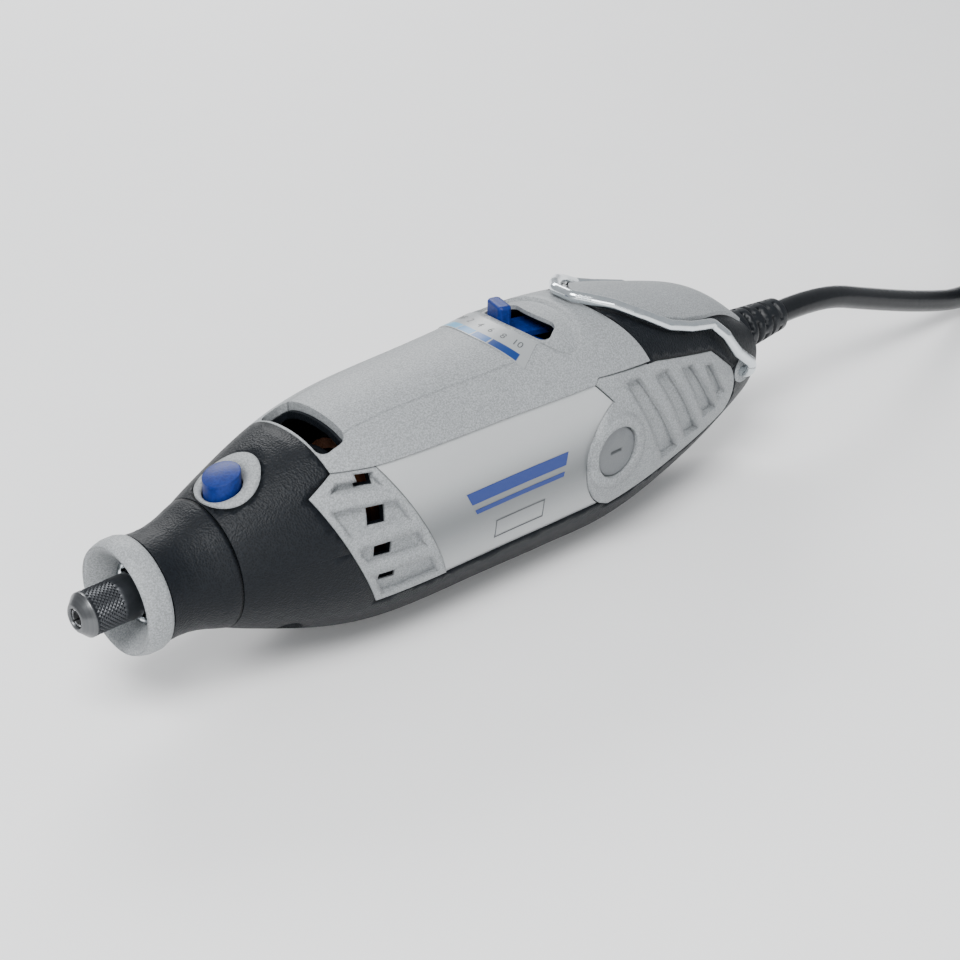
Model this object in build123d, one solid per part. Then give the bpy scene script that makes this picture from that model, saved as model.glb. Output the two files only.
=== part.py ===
"""Corded rotary hobby tool with a collet nose, lock button, speed lever and hanger bail.

Lengths are millimetres. While a piece is made, X runs along the motor axis from the
front face of the collet nut (x = 0) to the cord, and z = 0 is the motor axis. write_node
moves every piece to the final frame: z = 0 under the belly, x = 0 at mid length.
"""
from build123d import *
import math
import os

# ---- overall sizes -------------------------------------------------------------
TOOL_LENGTH = 221.0        # collet nut to the end of the cord guard
AXIS_HEIGHT = 28.4         # motor axis above the surface that the belly rests on
SKIN = 2.0                 # outer trim layer
WALL = 1.6                 # structural shell below the trim
PARTING_Z = 2.5            # joint between the upper and lower shells
TRIM_GAP = 0.12            # seam round each trim piece
RUNNING = 0.05             # radial clearance of a turning or sliding fit
FREE = 0.3                 # gap between pieces that move past each other

# ---- housing outline: x, half width, height above axis, depth below, squareness ----
SECTIONS = [
    (32.4, 14.9, 14.9, 14.9, 2.00),
    (40.0, 17.5, 18.2, 18.2, 2.05),
    (48.0, 19.6, 21.3, 21.3, 2.15),
    (58.0, 21.6, 24.6, 24.6, 2.25),
    (70.0, 22.9, 27.1, 27.1, 2.30),
    (84.0, 23.5, 28.2, 28.2, 2.30),
    (100.0, 23.8, 28.7, 28.6, 2.30),
    (116.0, 24.3, 29.5, 29.1, 2.30),
    (132.0, 24.6, 30.0, 29.6, 2.30),
    (146.0, 23.9, 28.5, 28.8, 2.30),
    (158.0, 22.3, 26.0, 26.5, 2.30),
    (170.0, 20.2, 22.6, 23.5, 2.30),
    (182.0, 17.4, 18.9, 20.2, 2.25),
    (192.0, 14.6, 13.2, 17.2, 2.20),
    (199.0, 12.0, 7.8, 14.6, 2.15),
]
SECTION_POINTS = 20
HOUSING_START = SECTIONS[0][0]
HOUSING_END = SECTIONS[-1][0]
FAR = 60.0                 # reach of cutting blocks, well outside the housing

# ---- spindle and collet --------------------------------------------------------
SHANK_R = 1.6              # 3.2 mm accessory shank
COLLET_FRONT = 0.6
COLLET_REAR = 19.0
COLLET_TAIL_R = 2.3
COLLET_HEAD_R = 3.0
COLLET_NOSE_R = 2.0
COLLET_SLOT = 0.5
NUT_R = 5.05
NUT_LENGTH = 14.4
NUT_CHAMFER = 2.2
THREAD_R = 3.5
SPINDLE_FRONT = 6.7
NECK_R = 3.4
JOURNAL_R = 3.5
SHAFT_R = 4.0
REAR_JOURNAL_R = 3.0
SPINDLE_REAR = 153.0

# ---- bearings ------------------------------------------------------------------
BEARING_R = 9.5
BEARING_WIDTH = 6.0
RACE = 1.9                 # wall of a bearing ring
BALL_COUNT = 8
FRONT_BEARING_X = 24.0
REAR_BEARING_X = 146.0
SLEEVE_WALL = 1.8

# ---- nose ----------------------------------------------------------------------
CAP_FRONT = 9.8
CAP_BAND_REAR = 16.4       # end of the outer band; a thinner skirt goes on inside the nose
CAP_REAR = 21.8
CAP_R = 13.05
CAP_SKIRT_R = 10.4
CAP_WAIST_R = 12.2
CAP_LIP_R = 12.2
DISH_X = 15.0
INSERT_BORE_R = 5.75
INSERT_R = 7.2
INSERT_FLANGE_R = 8.3
STUB_R = 9.0
STUB_BORE_R = 5.3
STUB_FRONT = 17.8
SHOULDER_X = 16.6
NOSE_REAR = 32.2
SPIGOT_R = 11.2
SPIGOT_REAR = 36.0

# ---- spindle lock --------------------------------------------------------------
LOCK_X = 38.5
BUTTON_R = 4.2
BUTTON_TOP = 20.4
BUTTON_SKIRT_Z = 14.4
BUTTON_ROOF_Z = 17.0
LOCK_TRAVEL = 3.0
PIN_R = 1.5
COLLAR_R = 7.5
COLLAR_WIDTH = 7.0
COLLAR_FLOOR = 1.2         # wall left under the collar's holes
LOCK_BOSS_R = 6.2
LOCK_BOSS_Z = 9.4
LOCK_FLOOR_Z = 10.6
BEZEL_LENGTH = 14.4
BEZEL_WIDTH = 15.4
BEZEL_X = 39.9
BEZEL_SLOPE = 22.0         # degrees that the cone rises under the bezel

# ---- motor ---------------------------------------------------------------------
FAN_X = 56.0
FAN_LENGTH = 10.0
FAN_R = 15.8
FAN_BLADES = 11
CORE_X = 76.0
CORE_LENGTH = 32.0
CORE_R = 12.0
CORE_SLOTS = 12
AIR_GAP = 0.4
STATOR_WIDTH = 33.4
STATOR_HEIGHT = 38.0
STATOR_CORNER = 10.0
COIL_R = 15.3
COIL_OVERHANG = 4.5
BRUSH_X = 134.4
COMMUTATOR_R = 8.5
COMMUTATOR_LENGTH = 12.0
COMMUTATOR_BARS = 24
BRUSH_WIDTH = 5.0
BRUSH_HEIGHT = 6.0
BRUSH_END_Y = 16.0
HOLDER_R = 6.0
HOLDER_Y = 10.2
HOLDER_END_Y = 22.6
HOLDER_SEAT_Y = 20.4
BRUSH_CAP_R = 6.4
BRUSH_CAP_PLUG_R = 4.6
BRUSH_CAP_FACE_Y = 24.5
BRUSH_CAP_BASE_Y = 22.8
CAP_BOSS_R = 9.3
CAP_BOSS_Y = 25.2

# ---- speed control -------------------------------------------------------------
LEVER_X = 143.0            # vertical hinge of the speed lever
LEVER_SWEEP = 29.0         # degrees from off to full speed
LEVER_TOP_Z = 24.7
LEVER_PLATE = 1.5
LEVER_PLATE_R = 24.2
PADDLE_IN_R = 18.4
PADDLE_OUT_R = 21.9
PADDLE_WIDTH = 7.0
PADDLE_TOP_Z = 31.9
LEVER_PIN_R = 1.2
LEVER_HUB_R = 3.6
WINDOW_IN_R = 14.2
WINDOW_OUT_R = 22.4
WINDOW_HALF_ANGLE = 30.0
SCOOP_DEPTH = 0.9          # thumb hollow round the window
LEVER_PLATE_HALF_ANGLE = 14.0
GUIDE_TOP_Z = 22.9         # fixed plate seen through the window, below the lever
GUIDE_THICKNESS = 1.3
GUIDE_HALF_ANGLE = 34.0
GUIDE_FOOT_X = 122.0
GUIDE_FOOT_Y = 8.0
SCALE_IN_R = 25.2
SCALE_OUT_R = 33.2
SCALE_HALF_ANGLE = 30.0
SCALE_TURN = 4.0           # degrees that the scale sits towards its off end
SCALE_THICKNESS = 0.25
BOARD_TOP_Z = 19.6
BOARD_THICKNESS = 1.6
BOARD_LENGTH = 30.0
BOARD_WIDTH = 24.0
BOARD_X = 116.0

# ---- hanger bail ---------------------------------------------------------------
BAIL_R = 1.4
BAIL_X = 188.5
BAIL_LEG_Y = 18.9
BAIL_TRACE = [              # plan view of the wire's way over the housing, on one side
    (139.4, 2.6), (142.7, 5.9), (146.4, 8.7), (152.2, 12.2), (159.4, 14.9), (166.8, 14.95), (176.0, 13.9)]
BUSH_R = 3.1
BUSH_FACE_Y = 16.4
BUSH_INNER_Y = 10.8
BAIL_PIN_END_Y = 11.4

# ---- cord ----------------------------------------------------------------------
CORD_R = 3.15
GUARD_FLANGE_R = 7.0
GUARD_FLANGE_X = 189.4
GUARD_NECK_R = 4.8
GUARD_NECK_X = 191.6
GUARD_BASE_X = 199.6
GUARD_BASE_R = 6.1
GUARD_TIP_R = 4.5
GUARD_SLIT = 1.3
LEAD_START = 166.0
FLOOR_Z = CORD_R - AXIS_HEIGHT
CORD_ROUTE = [
    (TOOL_LENGTH, 0.0, 0.0),
    (239.0, 0.0, 0.0),
    (262.0, 0.0, -8.4),
    (286.0, 0.4, -16.8),
    (309.0, 1.2, -23.6),
    (329.0, 5.2, FLOOR_Z),
    (345.0, 15.4, FLOOR_Z),
    (357.0, 22.0, FLOOR_Z),
    (372.0, 25.2, FLOOR_Z),
]
HANK_X = 400.0             # middle of the tied hank that holds the stored cord
HANK_STRAIGHT = 64.0
HANK_INNER_R = 18.9        # centre line of the inner turns at each end
HANK_ABREAST = 2
HANK_LAYERS = 4
HANK_OUTER_R = HANK_INNER_R + (HANK_ABREAST - 1) * 2 * CORD_R
HANK_TOP_Z = (2 * HANK_LAYERS - 1) * CORD_R - AXIS_HEIGHT
PLUG_X = 506.0             # where the cord enters the plug
PLUG_Y = 9.0
PLUG_Z = 7.0               # cord entry height above the floor
TAIL_ROUTE = [
    (HANK_X + HANK_STRAIGHT / 2, HANK_OUTER_R, HANK_TOP_Z),
    (451.0, 24.2, -7.4),
    (472.0, 17.4, -15.4),
    (490.0, PLUG_Y, PLUG_Z - AXIS_HEIGHT),
    (PLUG_X, PLUG_Y, PLUG_Z - AXIS_HEIGHT),
]
PLUG_BOOT = 12.0
PLUG_BODY = 28.0
PLUG_THICKNESS = 13.6
PLUG_WIDTH = 34.0
PIN_SPACING = 18.6
PIN_LENGTH = 19.0
PLUG_PIN_R = 2.0

# ---- fixings -------------------------------------------------------------------
SCREW_PLACES = [(46.5, 11.2), (160.5, 13.0)]
SCREW_R = 1.45
SCREW_HEAD_R = 2.8
SCREW_BOSS_R = 3.5
SCREW_TOP_Z = 12.0
SCREW_HEAD_DEPTH = 6.0
CLAMP_X = 178.0
CLAMP_LENGTH = 7.0
CLAMP_SCREW_Y = 7.6


# ---- shared shapes -------------------------------------------------------------
def section_at(x):
    """Half width, height, depth and squareness of the housing at x."""
    for low, high in zip(SECTIONS, SECTIONS[1:]):
        if x <= high[0]:
            break
    share = (x - low[0]) / (high[0] - low[0])
    return [a + share * (b - a) for a, b in zip(low[1:], high[1:])]


def section_face(x, inset):
    """A superellipse across the housing, drawn inset from the outer surface, its seam below."""
    half_width, above, below, power = section_at(x)
    points = []
    for step in range(SECTION_POINTS):
        angle = 2 * math.pi * step / SECTION_POINTS - math.pi / 2
        across, up = math.cos(angle), math.sin(angle)
        height = (above if up >= 0 else below) - inset
        y = (half_width - inset) * math.copysign(abs(across) ** (2 / power), across)
        z = height * math.copysign(abs(up) ** (2 / power), up)
        points.append((x, y, z))
    return make_face(Spline(*points, periodic=True))


def housing_form(inset=0.0):
    """The whole housing as one solid, its surface inset by the given depth."""
    places = [station[0] for station in SECTIONS[:-1]]
    places.append(HOUSING_END - inset)
    return loft([section_face(x, inset) for x in places])


def surface_z(x, y):
    """Height of the housing's top surface above the motor axis."""
    half_width, above, below, power = section_at(x)
    return above * (1 - abs(y / half_width) ** power) ** (1 / power)


def turned(points):
    """A solid of revolution about the motor axis from (x, radius) points."""
    return revolve(make_face(Plane.XZ * Polyline(*points, close=True)), Axis.X, 360)


def rod(x_start, x_end, radius):
    """A cylinder along the motor axis."""
    length = x_end - x_start
    return Pos(x_start + length / 2, 0, 0) * Rot(0, 90, 0) * Cylinder(radius, length)


def pipe(x_start, x_end, outer, inner):
    """A tube along the motor axis."""
    return rod(x_start, x_end, outer) - rod(x_start - 1, x_end + 1, inner)


def block(x_low, x_high, y_low, y_high, z_low, z_high):
    """A box between two corners."""
    size = (x_high - x_low, y_high - y_low, z_high - z_low)
    middle = ((x_low + x_high) / 2, (y_low + y_high) / 2, (z_low + z_high) / 2)
    return Pos(*middle) * Box(*size)


def post(x, y, z_low, z_high, radius):
    """A vertical cylinder."""
    return Pos(x, y, (z_low + z_high) / 2) * Cylinder(radius, z_high - z_low)


def side_bar(x, z, y_start, y_end, radius):
    """A cylinder across the housing, along Y."""
    return Pos(x, (y_start + y_end) / 2, z) * Rot(90, 0, 0) * Cylinder(radius, abs(y_end - y_start))


def side_prism(outline, gap=TRIM_GAP):
    """The left-hand block behind a side-view outline, drawn in by a gap."""
    face = make_face(outline)
    if gap:
        face = offset(face, amount=-gap, kind=Kind.ARC)
    return extrude(Plane.XZ * face, FAR)


def bar_outline(start, end, width):
    """Outline of a straight bar from start to end."""
    run, rise = end[0] - start[0], end[1] - start[1]
    length = math.hypot(run, rise)
    along, up = -rise / length * width / 2, run / length * width / 2
    return Polyline((start[0] + along, start[1] + up), (end[0] + along, end[1] + up),
                    (end[0] - along, end[1] - up), (start[0] - along, start[1] - up), close=True)


def plan_prism(face, z_low, z_high):
    """A vertical block above a plan-view face."""
    return Pos(0, 0, z_low) * extrude(face, z_high - z_low)


def arc_band(centre_x, inner, outer, half_angle):
    """A plan-view annular sector that opens towards the nose."""
    ring = Circle(outer) - Circle(inner)
    reach = 2 * outer
    spread = reach * math.tan(math.radians(half_angle))
    wedge = make_face(Polyline((0, 0), (-reach, spread), (-reach, -spread), close=True))
    return Pos(centre_x, 0) * (ring & wedge)


def mirrored(shape):
    """The right-hand copy of a left-hand piece."""
    return mirror(shape, about=Plane.XZ)


def write_node(name, *solids):
    """Move the solids to the final frame and write them as one node."""
    placed = Pos(-TOOL_LENGTH / 2, 0, AXIS_HEIGHT)
    parts = [placed * solid for shape in solids for solid in shape.solids()]
    whole = parts[0] if len(parts) == 1 else Compound(children=parts)
    whole.label = name
    export_step(whole, f"parts/{name}.step")


# ---- trim outlines, side view (x, z) -------------------------------------------
COVER_FRONT = (55.0, 32.0)
COVER_CORNER = (56.5, 19.1)
VENT_TIP = (50.0, 15.6)
VENT_BOTTOM = (63.8, -13.6)
PLATE_TOP_FRONT = (66.6, 18.5)
PLATE_MID_FRONT = (74.6, 5.0)
PLATE_LOW_FRONT = (83.6, -13.8)
PLATE_TOP_REAR = (130.0, 17.6)
PLATE_NOTCH = (134.6, 12.4)
PLATE_MID_REAR = (125.3, 0.6)
PLATE_LOW_REAR = (131.2, -13.8)
GRIP_TOP_FRONT = (131.4, 18.8)
GRIP_TOP_MID = (152.0, 16.3)
GRIP_TOP_REAR = (174.6, 10.6)
GRIP_TIP = (185.6, -3.2)
GRIP_LOW_REAR = (183.4, -10.4)
GRIP_LOW_FRONT = (134.8, -15.6)
COVER_HEEL = (149.8, 16.9)
BAND_EDGE_TOP = (136.0, 32.0)
BAND_EDGE_MID = (143.5, 27.6)
SEAM_LAP = 1.2             # laps the outlines so that they unite into one recess


def vent_outline():
    front = Polyline(PLATE_TOP_FRONT, COVER_CORNER, VENT_TIP, VENT_BOTTOM, PLATE_LOW_FRONT)
    return front + ThreePointArc(PLATE_LOW_FRONT, PLATE_MID_FRONT, PLATE_TOP_FRONT)


def plate_outline():
    front = ThreePointArc(PLATE_LOW_FRONT, PLATE_MID_FRONT, PLATE_TOP_FRONT)
    top = Polyline(PLATE_TOP_FRONT, PLATE_TOP_REAR, PLATE_NOTCH)
    rear = ThreePointArc(PLATE_NOTCH, PLATE_MID_REAR, PLATE_LOW_REAR)
    return front + top + rear + Line(PLATE_LOW_REAR, PLATE_LOW_FRONT)


def grip_outline():
    front = ThreePointArc(PLATE_NOTCH, PLATE_MID_REAR, PLATE_LOW_REAR)
    low = Polyline(PLATE_LOW_REAR, GRIP_LOW_FRONT, GRIP_LOW_REAR)
    tip = ThreePointArc(GRIP_LOW_REAR, GRIP_TIP, (183.0, 3.4))
    rise = Polyline((183.0, 3.4), GRIP_TOP_REAR, GRIP_TOP_MID, GRIP_TOP_FRONT)
    return front + low + tip + rise + Polyline(GRIP_TOP_FRONT, PLATE_TOP_REAR, PLATE_NOTCH)


def cover_outline():
    front = Polyline((55.0, 45.0), COVER_FRONT, COVER_CORNER, PLATE_TOP_FRONT, PLATE_TOP_REAR)
    side = Polyline(PLATE_TOP_REAR, GRIP_TOP_FRONT, COVER_HEEL)
    rear = ThreePointArc(COVER_HEEL, BAND_EDGE_MID, BAND_EDGE_TOP)
    return front + side + rear + Polyline(BAND_EDGE_TOP, (136.0, 45.0), (55.0, 45.0))


def moved(point, along, up):
    """A side-view point moved along and up."""
    return (point[0] + along, point[1] + up)


def trim_region():
    """Side view of the one recess that holds the cover, grilles, plates and grip panels."""
    sides = make_face(vent_outline()) + make_face(plate_outline()) + make_face(grip_outline())
    low = [moved(COVER_CORNER, 1.5, 0.4), moved(PLATE_TOP_FRONT, 0, -SEAM_LAP),
           moved(PLATE_TOP_REAR, 0, -SEAM_LAP), moved(GRIP_TOP_FRONT, 2.6, -SEAM_LAP - 0.4),
           moved(COVER_HEEL, -1.3, -SEAM_LAP - 0.2)]
    high = [moved(COVER_HEEL, -1.3, SEAM_LAP), moved(GRIP_TOP_FRONT, 0, SEAM_LAP),
            moved(PLATE_TOP_FRONT, 0, SEAM_LAP)]
    seam = make_face(Polyline(*low, *high, close=True))
    return sides + make_face(cover_outline()) + seam


def cover_block():
    """The block that shapes the top cover, reaching both ways across the housing."""
    face = offset(make_face(cover_outline()), amount=-TRIM_GAP, kind=Kind.ARC)
    return extrude(Plane.XZ * face, FAR, both=True)


def hood_face(gap=0.0):
    """Plan view of the rear hood, rounded at the front and waisted at the cord."""
    front = ThreePointArc((160.0, 12.9), (149.9, 8.6), (143.4, 0))
    front += ThreePointArc((143.4, 0), (149.9, -8.6), (160.0, -12.9))
    side = Polyline((160.0, -12.9), (168.0, -13.2), (177.0, -12.2), (197.0, -7.4))
    back = Polyline((197.0, -7.4), (197.0, 7.4), (177.0, 12.2), (168.0, 13.2), (160.0, 12.9))
    face = make_face(front + side + back)
    return offset(face, amount=-gap, kind=Kind.ARC) if gap else face


def window_face():
    """Plan view of the speed lever's window, its corners rounded."""
    sector = arc_band(LEVER_X, WINDOW_IN_R, WINDOW_OUT_R, WINDOW_HALF_ANGLE)
    return fillet(sector.vertices(), 2.6)


# ---- housing -------------------------------------------------------------------
outer = housing_form() & block(0, 250, -FAR, FAR, -AXIS_HEIGHT, FAR)
under_skin = housing_form(SKIN)
cavity = housing_form(SKIN + WALL)
recessed = housing_form(0.4)

trim_pocket = extrude(Plane.XZ * trim_region(), FAR, both=True) - under_skin
hood_pocket = plan_prism(hood_face(), 0, FAR) - under_skin
bezel_place = Pos(BEZEL_X, 0, 10) * Ellipse(BEZEL_LENGTH / 2, BEZEL_WIDTH / 2)
bezel_pocket = extrude(bezel_place, FAR) - under_skin

GRILLE_RIM = 2.0
HOLE_SLANT = 6.0           # degrees
GRILLE_DEPTH = 1.5         # how far the field between the fins is sunk
FIN_THICKNESS = 3.4
FINS = [((50.0, 14.4), (72.0, 12.3)), ((55.0, 4.4), (77.0, 3.4)), ((59.0, -3.4), (80.0, -4.8))]
VENT_HOLES = [(63.2, 16.5, 4.4, 3.0), (64.2, 8.6, 4.6, 4.4), (65.2, 0.2, 4.6, 3.6), (66.6, -7.0, 4.4, 2.6)]


def vent_hole_tools(grow=0.0):
    """Blocks through the left side at each exhaust hole."""
    tools = []
    for x, z, width, height in VENT_HOLES:
        hole = Box(width + 2 * grow, 16, height + 2 * grow)
        tools.append(Pos(x, -21, z) * Rot(0, HOLE_SLANT, 0) * hole)
    return tools


def inlet_face(shrink=0.0):
    """Plan view of the air inlet in the top cover."""
    face = RectangleRounded(7.6 - 2 * shrink, 22.4 - 2 * shrink, 2.4 - shrink)
    return Pos(60.4, 0) * face


def shell_solid():
    """Both shells as one, with ribs and bosses, before the split."""
    solid = outer - cavity
    hold = housing_form(SKIN + WALL / 2)
    stator_clear = stator_outline(0.1)
    for x in (74.5, 91.2, 106.0):
        rib = block(x, x + 1.6, -FAR, FAR, -FAR, FAR) & hold
        solid += rib - extrude(Plane.YZ.offset(x - 1) * stator_clear, 4)
    solid += post(LOCK_X, 0, LOCK_BOSS_Z, FAR, LOCK_BOSS_R) & hold
    for x, y in SCREW_PLACES:
        for side in (-y, y):
            solid += post(x, side, -FAR, SCREW_TOP_Z + 2, SCREW_BOSS_R) & hold
    for side in (-CLAMP_SCREW_Y, CLAMP_SCREW_Y):
        solid += post(CLAMP_X + CLAMP_LENGTH / 2, side, -FAR, -CORD_R, 3.0) & hold
    return solid


def stator_outline(gap=0.0):
    """Cross section of the stator stack in the YZ plane."""
    width = STATOR_WIDTH + 2 * gap
    height = STATOR_HEIGHT + 2 * gap
    return RectangleRounded(width, height, STATOR_CORNER)


def shell_cutters():
    """Every trim pocket, hole and passage through the shells."""
    tools = vent_hole_tools(0.2)
    tools += [mirrored(tool) for tool in tools]
    tools += [trim_pocket, hood_pocket, bezel_pocket, plan_prism(inlet_face(0.6), 14, FAR)]
    floor = LEVER_TOP_Z - LEVER_PLATE - 2
    sweep = arc_band(LEVER_X, WINDOW_IN_R - 1.5, LEVER_PLATE_R + 1.2, WINDOW_HALF_ANGLE + 11)
    tools.append(plan_prism(sweep, floor, FAR))
    tools.append(post(LEVER_X, 0, floor, LEVER_TOP_Z + 0.4, LEVER_HUB_R + 1.0))
    tools.append(plan_prism(lever_arm_face(2.2), floor, LEVER_TOP_Z + 0.4))
    tools.append(post(LOCK_X, 0, LOCK_FLOOR_Z, FAR, BUTTON_R + 0.15))
    tools.append(post(LOCK_X, 0, 0, LOCK_FLOOR_Z + 1, PIN_R + 0.1))
    tools.append(side_bar(BRUSH_X, 0, -FAR, FAR, HOLDER_R + 0.1))
    tools.append(side_bar(BAIL_X, 0, -FAR, FAR, BUSH_R))
    tools.append(rod(HOUSING_END - 12, HOUSING_END + 2, GUARD_NECK_R + 0.05))
    tools.append(rod(NOSE_REAR - 1, SPIGOT_REAR + 0.2, SPIGOT_R + RUNNING))
    for x, y in SCREW_PLACES:
        for side in (-y, y):
            tools.append(post(x, side, -FAR, SCREW_TOP_Z, SCREW_R))
            tools.append(post(x, side, -FAR, screw_seat(x, y), SCREW_HEAD_R + 0.2))
    for side in (-CLAMP_SCREW_Y, CLAMP_SCREW_Y):
        tools.append(post(CLAMP_X + CLAMP_LENGTH / 2, side, -12, 0, 1.2))
    return tools


def screw_seat(x, y):
    """Height of a screw head's seat, sunk below the lower surface."""
    half_width, above, below, power = section_at(x)
    return -below * (1 - abs(y / half_width) ** power) ** (1 / power) + SCREW_HEAD_DEPTH


def lever_arm_face(grow=0.0):
    """Plan view of the lever's arm from its hub to its window plate."""
    half = 4.0 + grow
    reach = PADDLE_IN_R + 8 * math.tan(math.radians(LEVER_SWEEP)) * (1 if grow else 0)
    wide = half + (reach * math.sin(math.radians(LEVER_SWEEP)) if grow else 0)
    return make_face(Polyline(
        (LEVER_X, -half), (LEVER_X, half), (LEVER_X - PADDLE_IN_R, wide),
        (LEVER_X - PADDLE_IN_R, -wide), close=True))


# ---- nose ----------------------------------------------------------------------
def nose_cap():
    body = turned([
        (CAP_FRONT, CAP_LIP_R), (CAP_FRONT + 1.2, CAP_R - 0.35), (CAP_FRONT + 2.6, CAP_R),
        (CAP_BAND_REAR - 1.6, CAP_R), (CAP_BAND_REAR - 0.4, CAP_R - 0.4), (CAP_BAND_REAR, CAP_R - 1.0),
        (CAP_BAND_REAR, CAP_SKIRT_R), (CAP_REAR, CAP_SKIRT_R),
        (CAP_REAR, STUB_R + 0.1), (STUB_FRONT - 0.3, STUB_R + 0.1), (STUB_FRONT - 0.3, INSERT_FLANGE_R),
        (DISH_X + 1.2, INSERT_FLANGE_R), (DISH_X + 1.2, INSERT_R), (DISH_X, INSERT_R),
        (CAP_FRONT + 0.6, CAP_LIP_R - 1.2)])
    return body


def wrench_insert():
    ring = turned([
        (DISH_X, INSERT_R), (DISH_X + 1.2, INSERT_R), (DISH_X + 1.2, INSERT_FLANGE_R),
        (STUB_FRONT - 0.4, INSERT_FLANGE_R), (STUB_FRONT - 0.4, INSERT_BORE_R),
        (DISH_X + 0.6, INSERT_BORE_R), (DISH_X, INSERT_BORE_R + 0.6)])
    for step in range(12):
        notch = Pos(DISH_X + 1, 0, INSERT_BORE_R) * Box(3.2, 1.3, 0.9)
        ring -= Rot(30 * step, 0, 0) * notch
    return ring


def nose_housing():
    return turned([
        (STUB_FRONT, STUB_BORE_R), (STUB_FRONT, STUB_R), (CAP_REAR + 0.2, STUB_R),
        (CAP_REAR + 0.2, CAP_SKIRT_R + 0.1), (SHOULDER_X, CAP_SKIRT_R + 0.1),
        (SHOULDER_X, CAP_WAIST_R), (19.6, CAP_WAIST_R - 0.2), (22.6, CAP_WAIST_R - 0.05),
        (25.4, CAP_WAIST_R + 0.5), (27.6, 13.3), (29.8, 14.1),
        (NOSE_REAR, 14.85), (NOSE_REAR, SPIGOT_R), (SPIGOT_REAR, SPIGOT_R),
        (SPIGOT_REAR, BEARING_R - 0.8), (FRONT_BEARING_X + BEARING_WIDTH + 0.2, BEARING_R - 0.8),
        (FRONT_BEARING_X + BEARING_WIDTH + 0.2, BEARING_R), (FRONT_BEARING_X, BEARING_R),
        (FRONT_BEARING_X, STUB_BORE_R)])


# ---- rotating assembly ---------------------------------------------------------
def collet_nut():
    thread = THREAD_R + RUNNING
    head = COLLET_HEAD_R + 0.12
    return turned([
        (0, COLLET_NOSE_R + 0.15), (0, NUT_R - NUT_CHAMFER), (0.25, NUT_R - NUT_CHAMFER + 0.45),
        (NUT_CHAMFER, NUT_R), (NUT_LENGTH - 0.8, NUT_R), (NUT_LENGTH, NUT_R - 0.7),
        (NUT_LENGTH, thread), (SPINDLE_FRONT - 0.3, thread), (SPINDLE_FRONT - 0.3, head),
        (4.6, head), (COLLET_FRONT, COLLET_NOSE_R + 0.15)])


def collet():
    body = turned([
        (COLLET_FRONT, SHANK_R), (COLLET_FRONT, COLLET_NOSE_R), (4.5, COLLET_HEAD_R),
        (SPINDLE_FRONT - 0.4, COLLET_HEAD_R), (SPINDLE_FRONT + 0.6, COLLET_TAIL_R),
        (COLLET_REAR, COLLET_TAIL_R), (COLLET_REAR, SHANK_R)])
    for step in range(2):
        slot = Pos(5, 0, 0) * Box(12, COLLET_SLOT, 8)
        body -= Rot(90 * step + 45, 0, 0) * slot
    return body


def spindle():
    shaft = turned([
        (SPINDLE_FRONT, 0), (SPINDLE_FRONT, THREAD_R), (NUT_LENGTH + 2.6, THREAD_R),
        (NUT_LENGTH + 2.6, NECK_R), (FRONT_BEARING_X, NECK_R), (FRONT_BEARING_X, JOURNAL_R),
        (FRONT_BEARING_X + BEARING_WIDTH, JOURNAL_R), (FRONT_BEARING_X + BEARING_WIDTH, SHAFT_R),
        (REAR_BEARING_X, SHAFT_R), (REAR_BEARING_X, REAR_JOURNAL_R), (SPINDLE_REAR, REAR_JOURNAL_R),
        (SPINDLE_REAR, 0)])
    socket = turned([
        (SPINDLE_FRONT - 1, 0), (SPINDLE_FRONT - 1, COLLET_HEAD_R + 0.65), (SPINDLE_FRONT + 0.75, COLLET_TAIL_R),
        (COLLET_REAR + 0.5, COLLET_TAIL_R), (COLLET_REAR + 0.5, 0)])
    return shaft - socket


def lock_collar():
    ring = pipe(LOCK_X - COLLAR_WIDTH / 2, LOCK_X + COLLAR_WIDTH / 2, COLLAR_R, SHAFT_R)
    for step in range(4):
        ring -= Rot(90 * step, 0, 0) * post(LOCK_X, 0, SHAFT_R + COLLAR_FLOOR, COLLAR_R + 2, PIN_R + 0.1)
    return ring


def bearing(x, inner_r):
    """Outer ring, inner ring and ball set of a deep-groove ball bearing."""
    pitch = (BEARING_R + inner_r) / 2
    gap = BEARING_R - inner_r - 2 * RACE
    ball_r = gap / 2 + 0.45
    middle = x + BEARING_WIDTH / 2
    groove_section = Pos(middle, pitch) * Circle(ball_r + RUNNING)
    groove = revolve(Plane.XZ * groove_section, Axis.X, 360)
    outer_ring = pipe(x, x + BEARING_WIDTH, BEARING_R, BEARING_R - RACE) - groove
    inner_ring = pipe(x, x + BEARING_WIDTH, inner_r + RACE, inner_r) - groove
    balls = []
    for step in range(BALL_COUNT):
        balls.append(Rot(360 * step / BALL_COUNT, 0, 0) * Pos(middle, 0, pitch) * Sphere(ball_r))
    return outer_ring, inner_ring, balls


def cooling_fan():
    back = FAN_X + FAN_LENGTH
    fan = pipe(FAN_X, back, SHAFT_R + 2.2, SHAFT_R)
    fan += pipe(back - 1.2, back, FAN_R, SHAFT_R + 1)
    for step in range(FAN_BLADES):
        blade = block(FAN_X, back - 0.6, -0.5, 0.5, SHAFT_R + 1.5, FAN_R - 0.3)
        fan += Rot(360 * step / FAN_BLADES, 0, 0) * blade
    return fan


def slot_tools(x, length, width, bottom_r):
    """Blocks along the armature's slots."""
    tools = []
    for step in range(CORE_SLOTS):
        tool = block(x, x + length, -width / 2, width / 2, bottom_r, CORE_R - 0.9)
        tools.append(Rot(360 * step / CORE_SLOTS, 0, 0) * tool)
    return tools


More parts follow.
